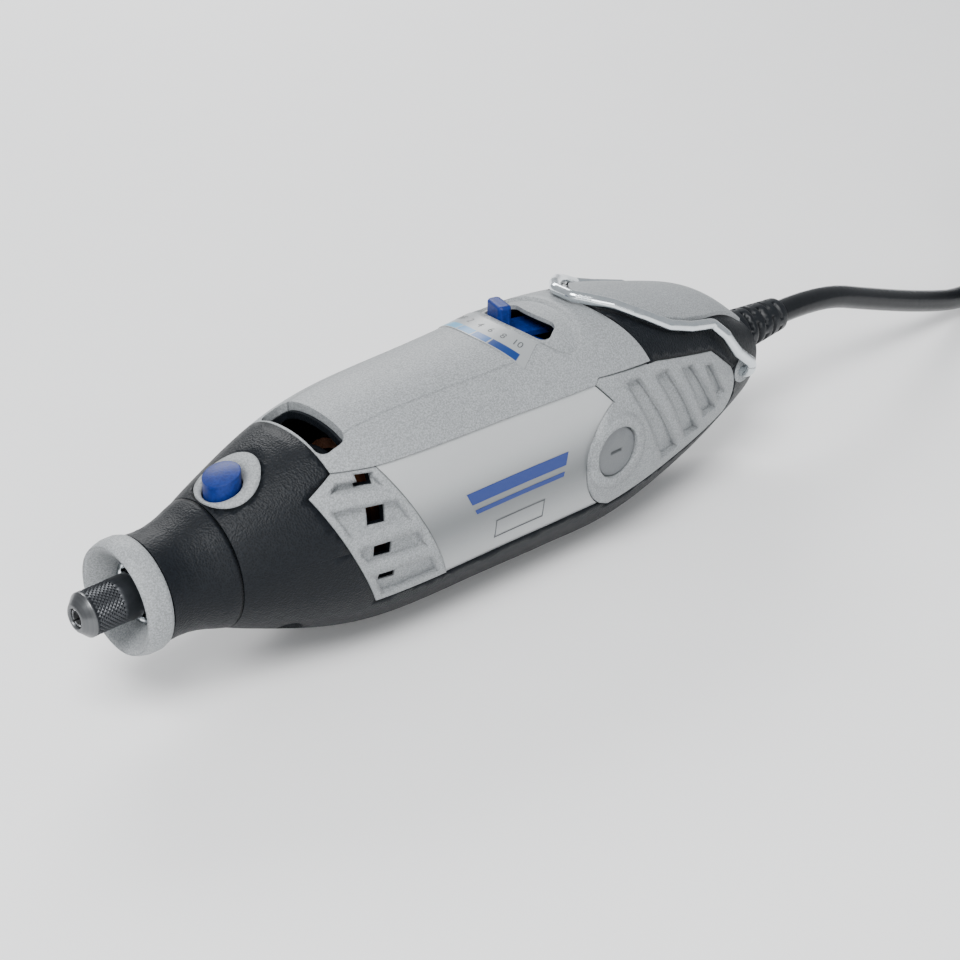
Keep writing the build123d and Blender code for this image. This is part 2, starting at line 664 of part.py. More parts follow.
def armature_core():
    core = pipe(CORE_X, CORE_X + CORE_LENGTH, CORE_R, SHAFT_R)
    for tool in slot_tools(CORE_X - 1, CORE_LENGTH + 2, 2.6, 6.8):
        core -= tool
    for step in range(CORE_SLOTS):
        mouth = block(CORE_X - 1, CORE_X + CORE_LENGTH + 1, -0.6, 0.6, CORE_R - 1.2, CORE_R + 1)
        core -= Rot(360 * step / CORE_SLOTS, 0, 0) * mouth
    return core


def armature_windings():
    front = turned([
        (CORE_X, SHAFT_R + 0.6), (CORE_X - 5.0, SHAFT_R + 0.8), (CORE_X - 6.0, 7.2),
        (CORE_X - 4.6, 9.8), (CORE_X, 11.0)])
    rear_x = CORE_X + CORE_LENGTH
    rear = turned([
        (rear_x, SHAFT_R + 0.6), (rear_x + 6.5, SHAFT_R + 0.8), (rear_x + 7.5, 7.2),
        (rear_x + 5.0, 10.0), (rear_x, 11.0)])
    winding = front + rear
    for tool in slot_tools(CORE_X - 0.5, CORE_LENGTH + 1, 2.3, 6.95):
        winding += tool
    return winding


def commutator():
    start = BRUSH_X - COMMUTATOR_LENGTH / 2
    body = pipe(start, start + COMMUTATOR_LENGTH, COMMUTATOR_R, SHAFT_R)
    body += pipe(start - 1.6, start, COMMUTATOR_R + 1.0, SHAFT_R)
    for step in range(COMMUTATOR_BARS):
        cut = block(start, start + COMMUTATOR_LENGTH + 1, -0.2, 0.2, COMMUTATOR_R - 0.8, COMMUTATOR_R + 2)
        body -= Rot(360 * step / COMMUTATOR_BARS, 0, 0) * cut
    return body


# ---- fixed motor pieces --------------------------------------------------------
def stator_core():
    bore = CORE_R + AIR_GAP
    core = extrude(Plane.YZ.offset(CORE_X) * stator_outline(), CORE_LENGTH)
    core -= rod(CORE_X - 1, CORE_X + CORE_LENGTH + 1, bore)
    window = pipe(CORE_X - 1, CORE_X + CORE_LENGTH + 1, COIL_R + 0.15, bore - 1)
    for side in (-FAR, 0):
        core -= window & block(0, 200, side, side + FAR, -COIL_R * 0.72, COIL_R * 0.72)
    return core


def field_coil(up):
    """One field coil: two legs through the stator windows, joined over each end."""
    inner = CORE_R + AIR_GAP + 0.5
    legs = pipe(CORE_X - COIL_OVERHANG, CORE_X + CORE_LENGTH + COIL_OVERHANG, COIL_R, inner)
    legs &= block(0, 200, -FAR, FAR, 0.6, COIL_R * 0.7)
    front = pipe(CORE_X - COIL_OVERHANG, CORE_X - 0.5, COIL_R, inner)
    rear = pipe(CORE_X + CORE_LENGTH + 0.5, CORE_X + CORE_LENGTH + COIL_OVERHANG, COIL_R, inner)
    ends = (front + rear) & block(0, 200, -FAR, FAR, 0.6, FAR)
    coil = legs + ends
    return coil if up else mirror(coil, about=Plane.XY)


def carbon_brush():
    body = block(BRUSH_X - BRUSH_WIDTH / 2, BRUSH_X + BRUSH_WIDTH / 2, -BRUSH_END_Y, -COMMUTATOR_R + 1,
                 -BRUSH_HEIGHT / 2, BRUSH_HEIGHT / 2)
    return body - rod(BRUSH_X - 10, BRUSH_X + 10, COMMUTATOR_R + RUNNING)


def brush_holder():
    sleeve = side_bar(BRUSH_X, 0, -HOLDER_END_Y, -HOLDER_Y, HOLDER_R)
    channel = block(BRUSH_X - BRUSH_WIDTH / 2 - RUNNING, BRUSH_X + BRUSH_WIDTH / 2 + RUNNING, -HOLDER_SEAT_Y - 1,
                    -HOLDER_Y + 1, -BRUSH_HEIGHT / 2 - RUNNING, BRUSH_HEIGHT / 2 + RUNNING)
    seat = side_bar(BRUSH_X, 0, -HOLDER_END_Y - 1, -HOLDER_SEAT_Y, BRUSH_CAP_PLUG_R + 0.1)
    return sleeve - channel - seat


def spring(length, radius, wire_r, turns):
    """An upright coil spring with its lower wire centre at the origin."""
    path = Helix(pitch=length / turns, height=length, radius=radius)
    start = path @ 0
    profile = Plane(origin=start, z_dir=path % 0) * Circle(wire_r)
    return sweep(profile, path=path, is_frenet=True)


def brush_spring():
    wire_r = 0.3
    length = HOLDER_SEAT_Y - BRUSH_END_Y - 2 * wire_r - 0.1
    coil = spring(length, 1.9, wire_r, 4)
    return Pos(BRUSH_X, -BRUSH_END_Y - wire_r - 0.05, 0) * Rot(90, 0, 0) * coil


def brush_cap():
    cap = side_bar(BRUSH_X, 0, -BRUSH_CAP_FACE_Y, -BRUSH_CAP_BASE_Y, BRUSH_CAP_R)
    cap += side_bar(BRUSH_X, 0, -BRUSH_CAP_BASE_Y, -HOLDER_SEAT_Y - 0.1, BRUSH_CAP_PLUG_R)
    rim = cap.edges().filter_by(GeomType.CIRCLE).sort_by(Axis.Y)[0]
    cap = chamfer(rim, 0.45)
    slot = block(BRUSH_X - 1.9, BRUSH_X + 1.9, -BRUSH_CAP_FACE_Y - 1, -BRUSH_CAP_FACE_Y + 0.8, -0.5, 0.5)
    return cap - slot


# ---- trims ---------------------------------------------------------------------
def vent_grille():
    body = (side_prism(vent_outline()) - under_skin) & outer
    field = side_prism(vent_outline(), GRILLE_RIM)
    for start, end in FINS:
        field -= side_prism(bar_outline(start, end, FIN_THICKNESS), 0)
    body -= field - housing_form(GRILLE_DEPTH)
    for tool in vent_hole_tools():
        body -= tool
    return body


def name_plate():
    return (side_prism(plate_outline()) - under_skin) & recessed


GRIP_SLOTS = [
    ((139.4, 15.4), (153.4, -9.8), (160.2, -9.7), (144.4, 14.8)),
    ((150.2, 13.6), (162.6, -7.6), (169.2, -8.4), (155.4, 12.9)),
    ((160.8, 11.5), (170.4, -5.2), (176.6, -5.6), (165.2, 10.5)),
    ((170.6, 8.6), (177.6, -4.4), (180.6, -2.6), (173.8, 7.4)),
]


def grip_panel():
    body = (side_prism(grip_outline()) - under_skin) & outer
    boss = side_bar(BRUSH_X, 0, -CAP_BOSS_Y, -10, CAP_BOSS_R) - under_skin
    body += boss
    deep = housing_form(1.7)
    for corners in GRIP_SLOTS:
        groove = side_prism(Polyline(*corners, close=True), 0) - deep
        body -= groove - side_bar(BRUSH_X, 0, -FAR, 0, CAP_BOSS_R)
    return body - side_bar(BRUSH_X, 0, -FAR, 0, BRUSH_CAP_R + 0.12)


def top_cover():
    body = (cover_block() - under_skin) & outer
    body -= extrude(inlet_face(), FAR)
    body -= extrude(window_face(), FAR)
    scoop = extrude(Pos(LEVER_X - 15.5, 0) * Ellipse(8.2, 15.5), FAR) - housing_form(SCOOP_DEPTH)
    return body - scoop


def scale_label():
    band = plan_prism(arc_band(LEVER_X, SCALE_IN_R, SCALE_OUT_R, SCALE_HALF_ANGLE), 15, FAR)
    band = Pos(LEVER_X, 0, 0) * Rot(0, 0, -SCALE_TURN) * Pos(-LEVER_X, 0, 0) * band
    lifted = Pos(0, 0, SCALE_THICKNESS) * outer
    return (lifted - outer) & band


def rear_hood():
    raised = Pos(0, 0, 0.9) * outer
    prism = plan_prism(hood_face(TRIM_GAP), 0, FAR) - under_skin
    return (prism & raised) - side_bar(BAIL_X, 0, -FAR, FAR, BUSH_R + 0.1)


def lock_bezel():
    plan = Ellipse(BEZEL_LENGTH / 2 - TRIM_GAP, BEZEL_WIDTH / 2 - TRIM_GAP)
    plan = Pos(BEZEL_X, 0, 10) * plan
    body = (extrude(plan, FAR) - under_skin) & (Pos(0, 0, 0.5) * outer)
    dish = Pos(LOCK_X, 0, surface_z(LOCK_X, 0)) * Rot(0, -BEZEL_SLOPE, 0) * Cone(BUTTON_R + 0.3, BUTTON_R + 2.6, 2.4)
    return body - post(LOCK_X, 0, 0, FAR, BUTTON_R + 0.35) - dish


# ---- controls ------------------------------------------------------------------
def lock_button():
    body = post(LOCK_X, 0, BUTTON_SKIRT_Z, BUTTON_TOP + 3, BUTTON_R)
    tilt = 14
    top = Pos(LOCK_X, 0, BUTTON_TOP) * Rot(0, -tilt, 0) * Pos(0, 0, -17.5) * Sphere(17.5)
    body &= top
    body -= post(LOCK_X, 0, BUTTON_SKIRT_Z - 1, BUTTON_ROOF_Z, BUTTON_R - 0.75)
    return body


def lock_pin():
    hole_floor = SHAFT_R + COLLAR_FLOOR
    return post(LOCK_X, 0, hole_floor + LOCK_TRAVEL + 0.1, BUTTON_ROOF_Z, PIN_R)


def lock_spring():
    wire_r = 0.28
    length = BUTTON_ROOF_Z - LOCK_FLOOR_Z - 2 * wire_r - 0.04
    return Pos(LOCK_X, 0, LOCK_FLOOR_Z + wire_r + 0.02) * spring(length, 2.55, wire_r, 4.5)


def speed_lever():
    low = LEVER_TOP_Z - LEVER_PLATE
    plate = arc_band(LEVER_X, WINDOW_IN_R - 1, LEVER_PLATE_R, LEVER_PLATE_HALF_ANGLE)
    lever = plan_prism(plate, low, LEVER_TOP_Z)
    lever += plan_prism(lever_arm_face(), low, LEVER_TOP_Z)
    lever += post(LEVER_X, 0, low, LEVER_TOP_Z, LEVER_HUB_R)
    paddle = block(LEVER_X - PADDLE_OUT_R, LEVER_X - PADDLE_IN_R, -PADDLE_WIDTH / 2, PADDLE_WIDTH / 2,
                   low, PADDLE_TOP_Z)
    paddle = fillet(paddle.edges().filter_by(Axis.Z), 1.2)
    paddle = fillet(paddle.faces().sort_by(Axis.Z)[-1].edges(), 0.8)
    lever += paddle
    lever -= post(LEVER_X, 0, 0, FAR, LEVER_PIN_R + RUNNING)
    return Pos(LEVER_X, 0, 0) * Rot(0, 0, -LEVER_SWEEP / 2) * Pos(-LEVER_X, 0, 0) * lever


def lever_pin():
    return post(LEVER_X, 0, BOARD_TOP_Z, LEVER_TOP_Z + 0.3, LEVER_PIN_R)


def speed_board():
    board = block(BOARD_X, BOARD_X + BOARD_LENGTH, -BOARD_WIDTH / 2, BOARD_WIDTH / 2,
                  BOARD_TOP_Z - BOARD_THICKNESS, BOARD_TOP_Z)
    return board


def lever_guide():
    low = GUIDE_TOP_Z - GUIDE_THICKNESS
    plate = plan_prism(arc_band(LEVER_X, WINDOW_IN_R - 1.2, LEVER_PLATE_R, GUIDE_HALF_ANGLE), low, GUIDE_TOP_Z)
    for side in (-GUIDE_FOOT_Y, GUIDE_FOOT_Y):
        plate += block(GUIDE_FOOT_X, GUIDE_FOOT_X + 3, side - 1.5, side + 1.5, BOARD_TOP_Z, low + 0.2)
    return plate


def capacitor():
    return block(BOARD_X + 8, BOARD_X + 26, -9, 9, BOARD_TOP_Z - BOARD_THICKNESS - 6, BOARD_TOP_Z - BOARD_THICKNESS)


def rear_bracket():
    plate = block(REAR_BEARING_X + 1, REAR_BEARING_X + 4.6, -FAR, FAR, -FAR, 17)
    plate &= housing_form(SKIN + WALL + 0.15)
    return plate - rod(REAR_BEARING_X - 1, REAR_BEARING_X + 8, BEARING_R + SLEEVE_WALL)


# ---- hanger bail ---------------------------------------------------------------
def proud_point(x, y):
    """A wire centre standing clear of the top surface at x, y."""
    step = 0.05
    slope_y = (surface_z(x, y + step) - surface_z(x, y - step)) / (2 * step)
    slope_x = (surface_z(x + step, y) - surface_z(x - step, y)) / (2 * step)
    stand = BAIL_R + FREE + 0.35
    scale = stand / math.sqrt(1 + slope_x ** 2 + slope_y ** 2)
    return (x - slope_x * scale, y - slope_y * scale, surface_z(x, y) + scale)


def hanger_bail():
    side = [proud_point(x, y) for x, y in BAIL_TRACE]
    side += [(179.8, 17.3, 13.2), (183.4, 18.5, 7.8), (BAIL_X, BAIL_LEG_Y, 3.4), (BAIL_X, BAIL_LEG_Y, 0)]
    side.append((BAIL_X, BAIL_PIN_END_Y, 0))
    far_side = [(x, -y, z) for x, y, z in side]
    path = FilletPolyline(*(list(reversed(side)) + far_side), radius=2.4)
    profile = Plane(origin=path @ 0, z_dir=path % 0) * Circle(BAIL_R)
    return sweep(profile, path=path)


def hanger_bush():
    bush = side_bar(BAIL_X, 0, -BUSH_FACE_Y, -BUSH_INNER_Y, BUSH_R)
    return bush - side_bar(BAIL_X, 0, -FAR, 0, BAIL_R + RUNNING)


# ---- cord ----------------------------------------------------------------------
def cord_guard():
    guard = turned([
        (GUARD_FLANGE_X, CORD_R), (GUARD_FLANGE_X, GUARD_FLANGE_R), (GUARD_NECK_X, GUARD_FLANGE_R),
        (GUARD_NECK_X, GUARD_NECK_R), (GUARD_BASE_X, GUARD_NECK_R), (GUARD_BASE_X, GUARD_BASE_R),
        (GUARD_BASE_X + 2.4, GUARD_BASE_R), (TOOL_LENGTH - 0.8, GUARD_TIP_R),
        (TOOL_LENGTH, GUARD_TIP_R - 0.6), (TOOL_LENGTH, CORD_R)])
    for row in range(5):
        x = GUARD_BASE_X + 4.6 + row * 3.2
        ring = pipe(x, x + GUARD_SLIT, 9, CORD_R + 0.9)
        turn = 45 if row % 2 else 0
        for step in range(4):
            keep = Rot(90 * step + turn, 0, 0) * block(x - 1, x + 3, -1.0, 1.0, 0, 9)
            ring -= keep
        guard -= ring
    return guard


def inner_lead():
    return rod(LEAD_START, TOOL_LENGTH, CORD_R)


def cord_clamp():
    plate = block(CLAMP_X, CLAMP_X + CLAMP_LENGTH, -10.2, 10.2, -CORD_R + 0.05, CORD_R + 2)
    plate -= rod(CLAMP_X - 1, CLAMP_X + CLAMP_LENGTH + 1, CORD_R)
    plate -= block(CLAMP_X - 1, CLAMP_X + CLAMP_LENGTH + 1, -CORD_R, CORD_R, -FAR, 0)
    for side in (-CLAMP_SCREW_Y, CLAMP_SCREW_Y):
        plate -= post(CLAMP_X + CLAMP_LENGTH / 2, side, -FAR, FAR, 1.4)
    return plate


def clamp_screws():
    screws = []
    for side in (-CLAMP_SCREW_Y, CLAMP_SCREW_Y):
        x = CLAMP_X + CLAMP_LENGTH / 2
        screw = post(x, side, -11, CORD_R + 2, 1.2) + post(x, side, CORD_R + 2, CORD_R + 3.6, 2.4)
        screw -= block(x - 0.4, x + 0.4, side - 1.5, side + 1.5, CORD_R + 2.8, CORD_R + 5)
        screws.append(screw)
    return screws


def housing_screws():
    screws = []
    for x, y in SCREW_PLACES:
        seat = screw_seat(x, y)
        for side in (-y, y):
            screw = post(x, side, seat - 0.5, SCREW_TOP_Z - 0.5, SCREW_R)
            screw += post(x, side, seat - 2.2, seat, SCREW_HEAD_R)
            for turn in (0, 90):
                cross = Box(3.4, 0.7, 1.6)
                screw -= Pos(x, side, seat - 2.2) * Rot(0, 0, turn) * cross
            screws.append(screw)
    return screws


def corner_radii(points):
    """As large an arc as the two runs at each corner allow."""
    radii = []
    for before, here, after in zip(points, points[1:], points[2:]):
        arrive = Vector(*here) - Vector(*before)
        leave = Vector(*after) - Vector(*here)
        turn = arrive.get_angle(leave)
        radii.append(0.45 * min(arrive.length, leave.length) / math.tan(math.radians(turn / 2)))
    return radii


def cord_tube(name, route):
    """A cord along straight runs joined by tangent arcs."""
    radii = corner_radii(route)
    path = FilletPolyline(*route, radius=radii)
    profile = Plane(origin=path @ 0, z_dir=path % 0) * Circle(CORD_R)
    tube = sweep(profile, path=path)
    print(name, "radii", [round(radius) for radius in radii], "length", round(path.length, 1))
    print(name, "volume", round(tube.volume), "section by length", round(math.pi * CORD_R ** 2 * path.length))
    return tube


def cord_hank():
    """The outer shape of the stored cord: long turns, side by side and stacked."""
    height = HANK_LAYERS * 2 * CORD_R
    outside = SlotCenterToCenter(HANK_STRAIGHT, 2 * (HANK_OUTER_R + CORD_R))
    inside = SlotCenterToCenter(HANK_STRAIGHT, 2 * (HANK_INNER_R - CORD_R))
    ring = extrude(outside - inside, height)
    return Pos(HANK_X, 0, -AXIS_HEIGHT) * chamfer(ring.edges(), CORD_R / 2)


def plug():
    front = PLUG_X + PLUG_BOOT
    rear = front + PLUG_BODY
    half = PLUG_WIDTH / 2
    outline = Polyline(
        (front, 5.5), (front + 7, 8.5), (front + 17, half), (rear, half),
        (rear, -half), (front + 17, -half), (front + 7, -8.5), (front, -5.5), close=True)
    body = extrude(make_face(outline), PLUG_THICKNESS)
    body = fillet(body.edges().filter_by(Axis.Z), 2.2)
    body = chamfer(body.faces().sort_by(Axis.Z)[-1].edges(), 1.4)
    body = Pos(0, PLUG_Y, -AXIS_HEIGHT) * body
    boot = Pos(PLUG_X + PLUG_BOOT / 2 + 0.5, PLUG_Y, PLUG_Z - AXIS_HEIGHT) * Rot(0, 90, 0)
    return body + boot * Cone(4.1, 5.2, PLUG_BOOT + 1)


def plug_pins():
    face = PLUG_X + PLUG_BOOT + PLUG_BODY
    pins = []
    for side in (-PIN_SPACING / 2, PIN_SPACING / 2):
        pin = rod(face, face + PIN_LENGTH, PLUG_PIN_R)
        pin = fillet(pin.edges().sort_by(Axis.X)[-1], 1.4)
        pins.append(Pos(0, PLUG_Y + side, PLUG_THICKNESS / 2 - AXIS_HEIGHT) * pin)
    return pins


# ---- build and write -----------------------------------------------------------
def main():
    os.makedirs("parts", exist_ok=True)
    shell = shell_solid() - shell_cutters()
    write_node("upper_shell", shell & block(0, 250, -FAR, FAR, PARTING_Z, FAR))
    write_node("lower_shell", shell & block(0, 250, -FAR, FAR, -FAR, PARTING_Z))
    write_node("top_cover", top_cover())
    write_node("scale_label", scale_label())
    write_node("rear_hood", rear_hood())
    write_node("lock_bezel", lock_bezel())
    pairs = {"vent_grille": vent_grille(), "name_plate": name_plate(), "grip_panel": grip_panel(),
             "brush_cap": brush_cap(), "carbon_brush": carbon_brush()}
    for name, piece in pairs.items():
        write_node("left_" + name, piece)
        write_node("right_" + name, mirrored(piece))
    write_node("brush_holders", brush_holder(), mirrored(brush_holder()))
    write_node("brush_springs", brush_spring(), mirrored(brush_spring()))
    write_node("nose_cap", nose_cap())
    write_node("wrench_insert", wrench_insert())
    write_node("nose_housing", nose_housing())
    write_node("collet_nut", collet_nut())
    write_node("collet", collet())
    write_node("spindle", spindle())
    write_node("lock_collar", lock_collar())
    for place, x, inner_r in (("front", FRONT_BEARING_X, JOURNAL_R), ("rear", REAR_BEARING_X, REAR_JOURNAL_R)):
        outer_ring, inner_ring, balls = bearing(x, inner_r)
        write_node(place + "_bearing_outer", outer_ring)
        write_node(place + "_bearing_inner", inner_ring)
        write_node(place + "_bearing_balls", *balls)
    write_node("bearing_sleeve", pipe(REAR_BEARING_X, REAR_BEARING_X + BEARING_WIDTH,
                                      BEARING_R + SLEEVE_WALL, BEARING_R))
    write_node("rear_bracket", rear_bracket())
    write_node("cooling_fan", cooling_fan())
    write_node("armature_core", armature_core())
    write_node("armature_windings", armature_windings())
    write_node("commutator", commutator())
    write_node("stator_core", stator_core())
    write_node("upper_field_coil", field_coil(True))
    write_node("lower_field_coil", field_coil(False))
    write_node("lock_button", lock_button())
    write_node("lock_pin", lock_pin())
    write_node("lock_spring", lock_spring())
    write_node("speed_lever", speed_lever())
    write_node("lever_pin", lever_pin())
    write_node("speed_board", speed_board())
    write_node("lever_guide", lever_guide())
    write_node("capacitor", capacitor())
    write_node("hanger_bail", hanger_bail())
    write_node("hanger_bushes", hanger_bush(), mirrored(hanger_bush()))
    write_node("cord_guard", cord_guard())
    write_node("inner_lead", inner_lead())
    write_node("cord_clamp", cord_clamp())
    write_node("clamp_screws", *clamp_screws())
    write_node("housing_screws", *housing_screws())
    write_node("cord", cord_tube("cord", CORD_ROUTE))
    write_node("cord_hank", cord_hank())
    write_node("cord_tail", cord_tube("tail", TAIL_ROUTE))
    write_node("plug", plug())
    write_node("plug_pins", *plug_pins())


main()
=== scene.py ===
"""Rotary hobby tool with a knurled collet nut, lock button, speed lever and cord."""
import bmesh
import bpy
import math
from bpy.props import FloatProperty, FloatVectorProperty, IntProperty, PointerProperty
from mathutils import Matrix, Vector
from mathutils.bvhtree import BVHTree


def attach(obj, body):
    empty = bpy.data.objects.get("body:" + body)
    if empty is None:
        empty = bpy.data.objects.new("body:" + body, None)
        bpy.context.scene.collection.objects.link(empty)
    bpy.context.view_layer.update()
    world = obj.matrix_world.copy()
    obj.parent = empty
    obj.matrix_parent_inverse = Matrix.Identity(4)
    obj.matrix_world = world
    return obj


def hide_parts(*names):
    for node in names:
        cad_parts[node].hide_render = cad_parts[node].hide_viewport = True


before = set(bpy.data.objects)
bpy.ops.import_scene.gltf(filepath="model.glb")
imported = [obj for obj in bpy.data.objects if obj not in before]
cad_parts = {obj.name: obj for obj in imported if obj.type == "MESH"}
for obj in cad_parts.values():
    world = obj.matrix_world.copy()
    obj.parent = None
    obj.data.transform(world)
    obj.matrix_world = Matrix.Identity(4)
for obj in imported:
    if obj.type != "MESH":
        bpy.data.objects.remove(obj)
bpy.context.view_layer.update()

bl_info = {
    "name": "Rotary hobby tool",
    "version": (1, 0, 0),
    "blender": (4, 5, 0),
    "location": "3D View > Sidebar > Rotary tool",
    "description": "Finishes a rotary hobby tool on its packed frame",
    "category": "Object",
}

MM = 0.001
MID_LENGTH = 110.5         # mm from the nut's front face to the origin
AXIS_HEIGHT = 28.4         # mm from the floor to the motor axis
CORD_RADIUS = 3.15
CORD_EXIT = (221.0, 0.0, 0.0)
LEVER_X = 143.0


def at(x, y, z):
    """A point given in mm from the nut's face and the motor axis, in metres."""
    return Vector(((x - MID_LENGTH) * MM, y * MM, (z + AXIS_HEIGHT) * MM))


# ---- settings --------------------------------------------------------------------
class RotaryToolSizes(bpy.types.PropertyGroup):
    knurl_columns: IntProperty(name="Knurl columns", description="Points round the nut, two to a diamond",
                               default=60, min=24)
    knurl_pitch: FloatProperty(name="Knurl pitch", description="Distance along the nut between rows of points",
                               default=0.50 * MM, unit="LENGTH")
    knurl_depth: FloatProperty(name="Knurl depth", description="Height of each diamond",
                               default=0.26 * MM, unit="LENGTH")
    edge_radius: FloatProperty(name="Edge radius", description="Rounding of moulded edges",
                               default=0.30 * MM, unit="LENGTH")
    rib_radius: FloatProperty(name="Rib radius", description="Rounding of fins, ribs and rings",
                              default=0.85 * MM, unit="LENGTH")
    line_height: FloatProperty(name="Print height", description="Thickness of printed marks",
                               default=0.06 * MM, unit="LENGTH")
    digit_size: FloatProperty(name="Digit size", description="Height of the numbers on the speed scale",
                              default=2.7 * MM, unit="LENGTH")


class RotaryToolColours(bpy.types.PropertyGroup):
    grey: FloatVectorProperty(name="Grey", description="Moulded grey covers", subtype="COLOR",
                              default=(0.245, 0.258, 0.266), size=3)
    black: FloatVectorProperty(name="Black", description="Moulded black shells", subtype="COLOR",
                               default=(0.0035, 0.0045, 0.006), size=3)
    blue: FloatVectorProperty(name="Blue", description="Button and speed lever", subtype="COLOR",
                              default=(0.0015, 0.017, 0.14), size=3)
    print_blue: FloatVectorProperty(name="Printed blue", description="Marks on the side plates",
                                    subtype="COLOR", default=(0.0, 0.022, 0.17), size=3)


def sizes():
    return bpy.context.scene.rotary_tool_sizes


def colours():
    return bpy.context.scene.rotary_tool_colours


# ---- shader maths ------------------------------------------------------------------
class Number:
    """A number socket that arithmetic turns into Math nodes."""

    def __init__(self, finish, socket):
        self.finish = finish
        self.socket = socket

    def maths(self, operation, *values):
        return self.finish.number("ShaderNodeMath", {"operation": operation}, dict(enumerate(values)))

    def __add__(self, other):
        return self.maths("ADD", self, other)

    def __radd__(self, other):
        return self.maths("ADD", other, self)

    def __sub__(self, other):
        return self.maths("SUBTRACT", self, other)

    def __rsub__(self, other):
        return self.maths("SUBTRACT", other, self)

    def __mul__(self, other):
        return self.maths("MULTIPLY", self, other)

    def __rmul__(self, other):
        return self.maths("MULTIPLY", other, self)

    def __truediv__(self, other):
        return self.maths("DIVIDE", self, other)

    def size(self):
        return self.maths("ABSOLUTE", self)

    def step(self, low, high):
        """0 below low and 1 above high, smooth between."""
        return self.finish.number("ShaderNodeMapRange", {"interpolation_type": "SMOOTHSTEP"},
                                  {"Value": self, "From Min": low, "From Max": high})


class Finish:
    """One procedural material, built on a Principled shader."""

    def __init__(self, name, **constants):
        self.material = bpy.data.materials.new(name)
        self.material.use_nodes = True
        self.tree = self.material.node_tree
        self.shader = self.tree.nodes["Principled BSDF"]
        for socket, value in constants.items():
            self.shader.inputs[socket.replace("_", " ")].default_value = value

    def node(self, kind, settings, inputs):
        made = self.tree.nodes.new(kind)
        for setting, value in settings.items():
            setattr(made, setting, value)
        for socket, value in inputs.items():
            self.feed(made.inputs[socket], value)
        return made

    def feed(self, socket, value):
        if isinstance(value, Number):
            value = value.socket
        if isinstance(value, bpy.types.NodeSocket):
            self.tree.links.new(value, socket)
        else:
            socket.default_value = value

    def number(self, kind, settings, inputs, output=0):
        return Number(self, self.node(kind, settings, inputs).outputs[output])

    def place(self):
        return self.node("ShaderNodeTexCoord", {}, {}).outputs["Object"]

    def axes(self):
        parts = self.node("ShaderNodeSeparateXYZ", {}, {0: self.place()})
        return [Number(self, parts.outputs[i]) for i in range(3)]

    def noise(self, scale, detail=2.0, roughness=0.5, vector=None):
        return self.number("ShaderNodeTexNoise", {}, {
            "Vector": vector or self.place(), "Scale": scale, "Detail": detail, "Roughness": roughness})

    def cells(self, scale, feature="F1", vector=None):
        return self.number("ShaderNodeTexVoronoi", {"feature": feature}, {
            "Vector": vector or self.place(), "Scale": scale})

    def mix(self, share, low, high):
        """A colour between low and high."""
        made = self.tree.nodes.new("ShaderNodeMix")
        made.data_type = "RGBA"
        self.feed(made.inputs["Factor"], share)
        for socket, colour in ((made.inputs[6], low), (made.inputs[7], high)):
            self.feed(socket, colour if isinstance(colour, bpy.types.NodeSocket) else (*colour[:3], 1.0))
        return made.outputs[2]

    def rounded(self, radius):
        """A normal that softens sharp edges."""
        return self.node("ShaderNodeBevel", {"samples": 4}, {"Radius": radius}).outputs[0]

    def bump(self, height, distance, normal=None):
        inputs = {"Height": height, "Distance": distance, "Strength": 1.0}
        if normal is not None:
            inputs["Normal"] = normal
        return self.node("ShaderNodeBump", {}, inputs).outputs[0]

    def set(self, **values):
        for socket, value in values.items():
            self.feed(self.shader.inputs[socket.replace("_", " ")], value)
        return self.material


FINISHES = {}


def finish(make):
    """The material that a maker function gives, made once."""
    if make.__name__ not in FINISHES:
        FINISHES[make.__name__] = make()
    return FINISHES[make.__name__]


def grey_skin(made, colour):
    """Colour, roughness and grain of spark-textured plastic."""
    speckle = made.noise(2600, 3.0, 0.75)
    cloud = made.noise(90, 2.0)
    light = [min(1.0, part * 1.34) for part in colour]
    dark = [part * 0.70 for part in colour]
    tone = made.mix(speckle.step(0.36, 0.66), dark, light)
    tone = made.mix(cloud * 0.18, tone, light)
    return tone, 0.44 + speckle * 0.16, speckle


def grey_plastic():
    made = Finish("grey_plastic", IOR=1.46)
    tone, rough, speckle = grey_skin(made, colours().grey)
    edges = made.rounded(sizes().edge_radius)
    return made.set(Base_Color=tone, Roughness=rough, Normal=made.bump(speckle, 0.00006, edges))


def soft_grey():
    """Grey plastic with the generous rounding of fins, ribs and rings."""
    made = Finish("soft_grey", IOR=1.46)
    tone, rough, speckle = grey_skin(made, colours().grey)
    edges = made.rounded(sizes().rib_radius)
    return made.set(Base_Color=tone, Roughness=rough, Normal=made.bump(speckle, 0.00006, edges))


def cover_plastic():
    """Grey plastic with the shallow raised panel of the top cover."""
    made = Finish("cover_plastic", IOR=1.46)
    tone, rough, speckle = grey_skin(made, colours().grey)
    along, across, up = made.axes()
    reach = (along - at(64, 0, 0).x) / (49 * MM)
    half = (9.6 + 2.7 * reach) * MM
    inside = 1 - (across.size() - half).step(-0.35 * MM, 0.35 * MM)
    front = along.step(at(57, 0, 0).x, at(58, 0, 0).x)
    rear = 1 - along.step(at(112.4, 0, 0).x, at(113.4, 0, 0).x)
    edges = made.rounded(sizes().edge_radius)
    panel = made.bump(inside * front * rear, 0.00045, edges)
    return made.set(Base_Color=tone, Roughness=rough, Normal=made.bump(speckle, 0.00006, panel))


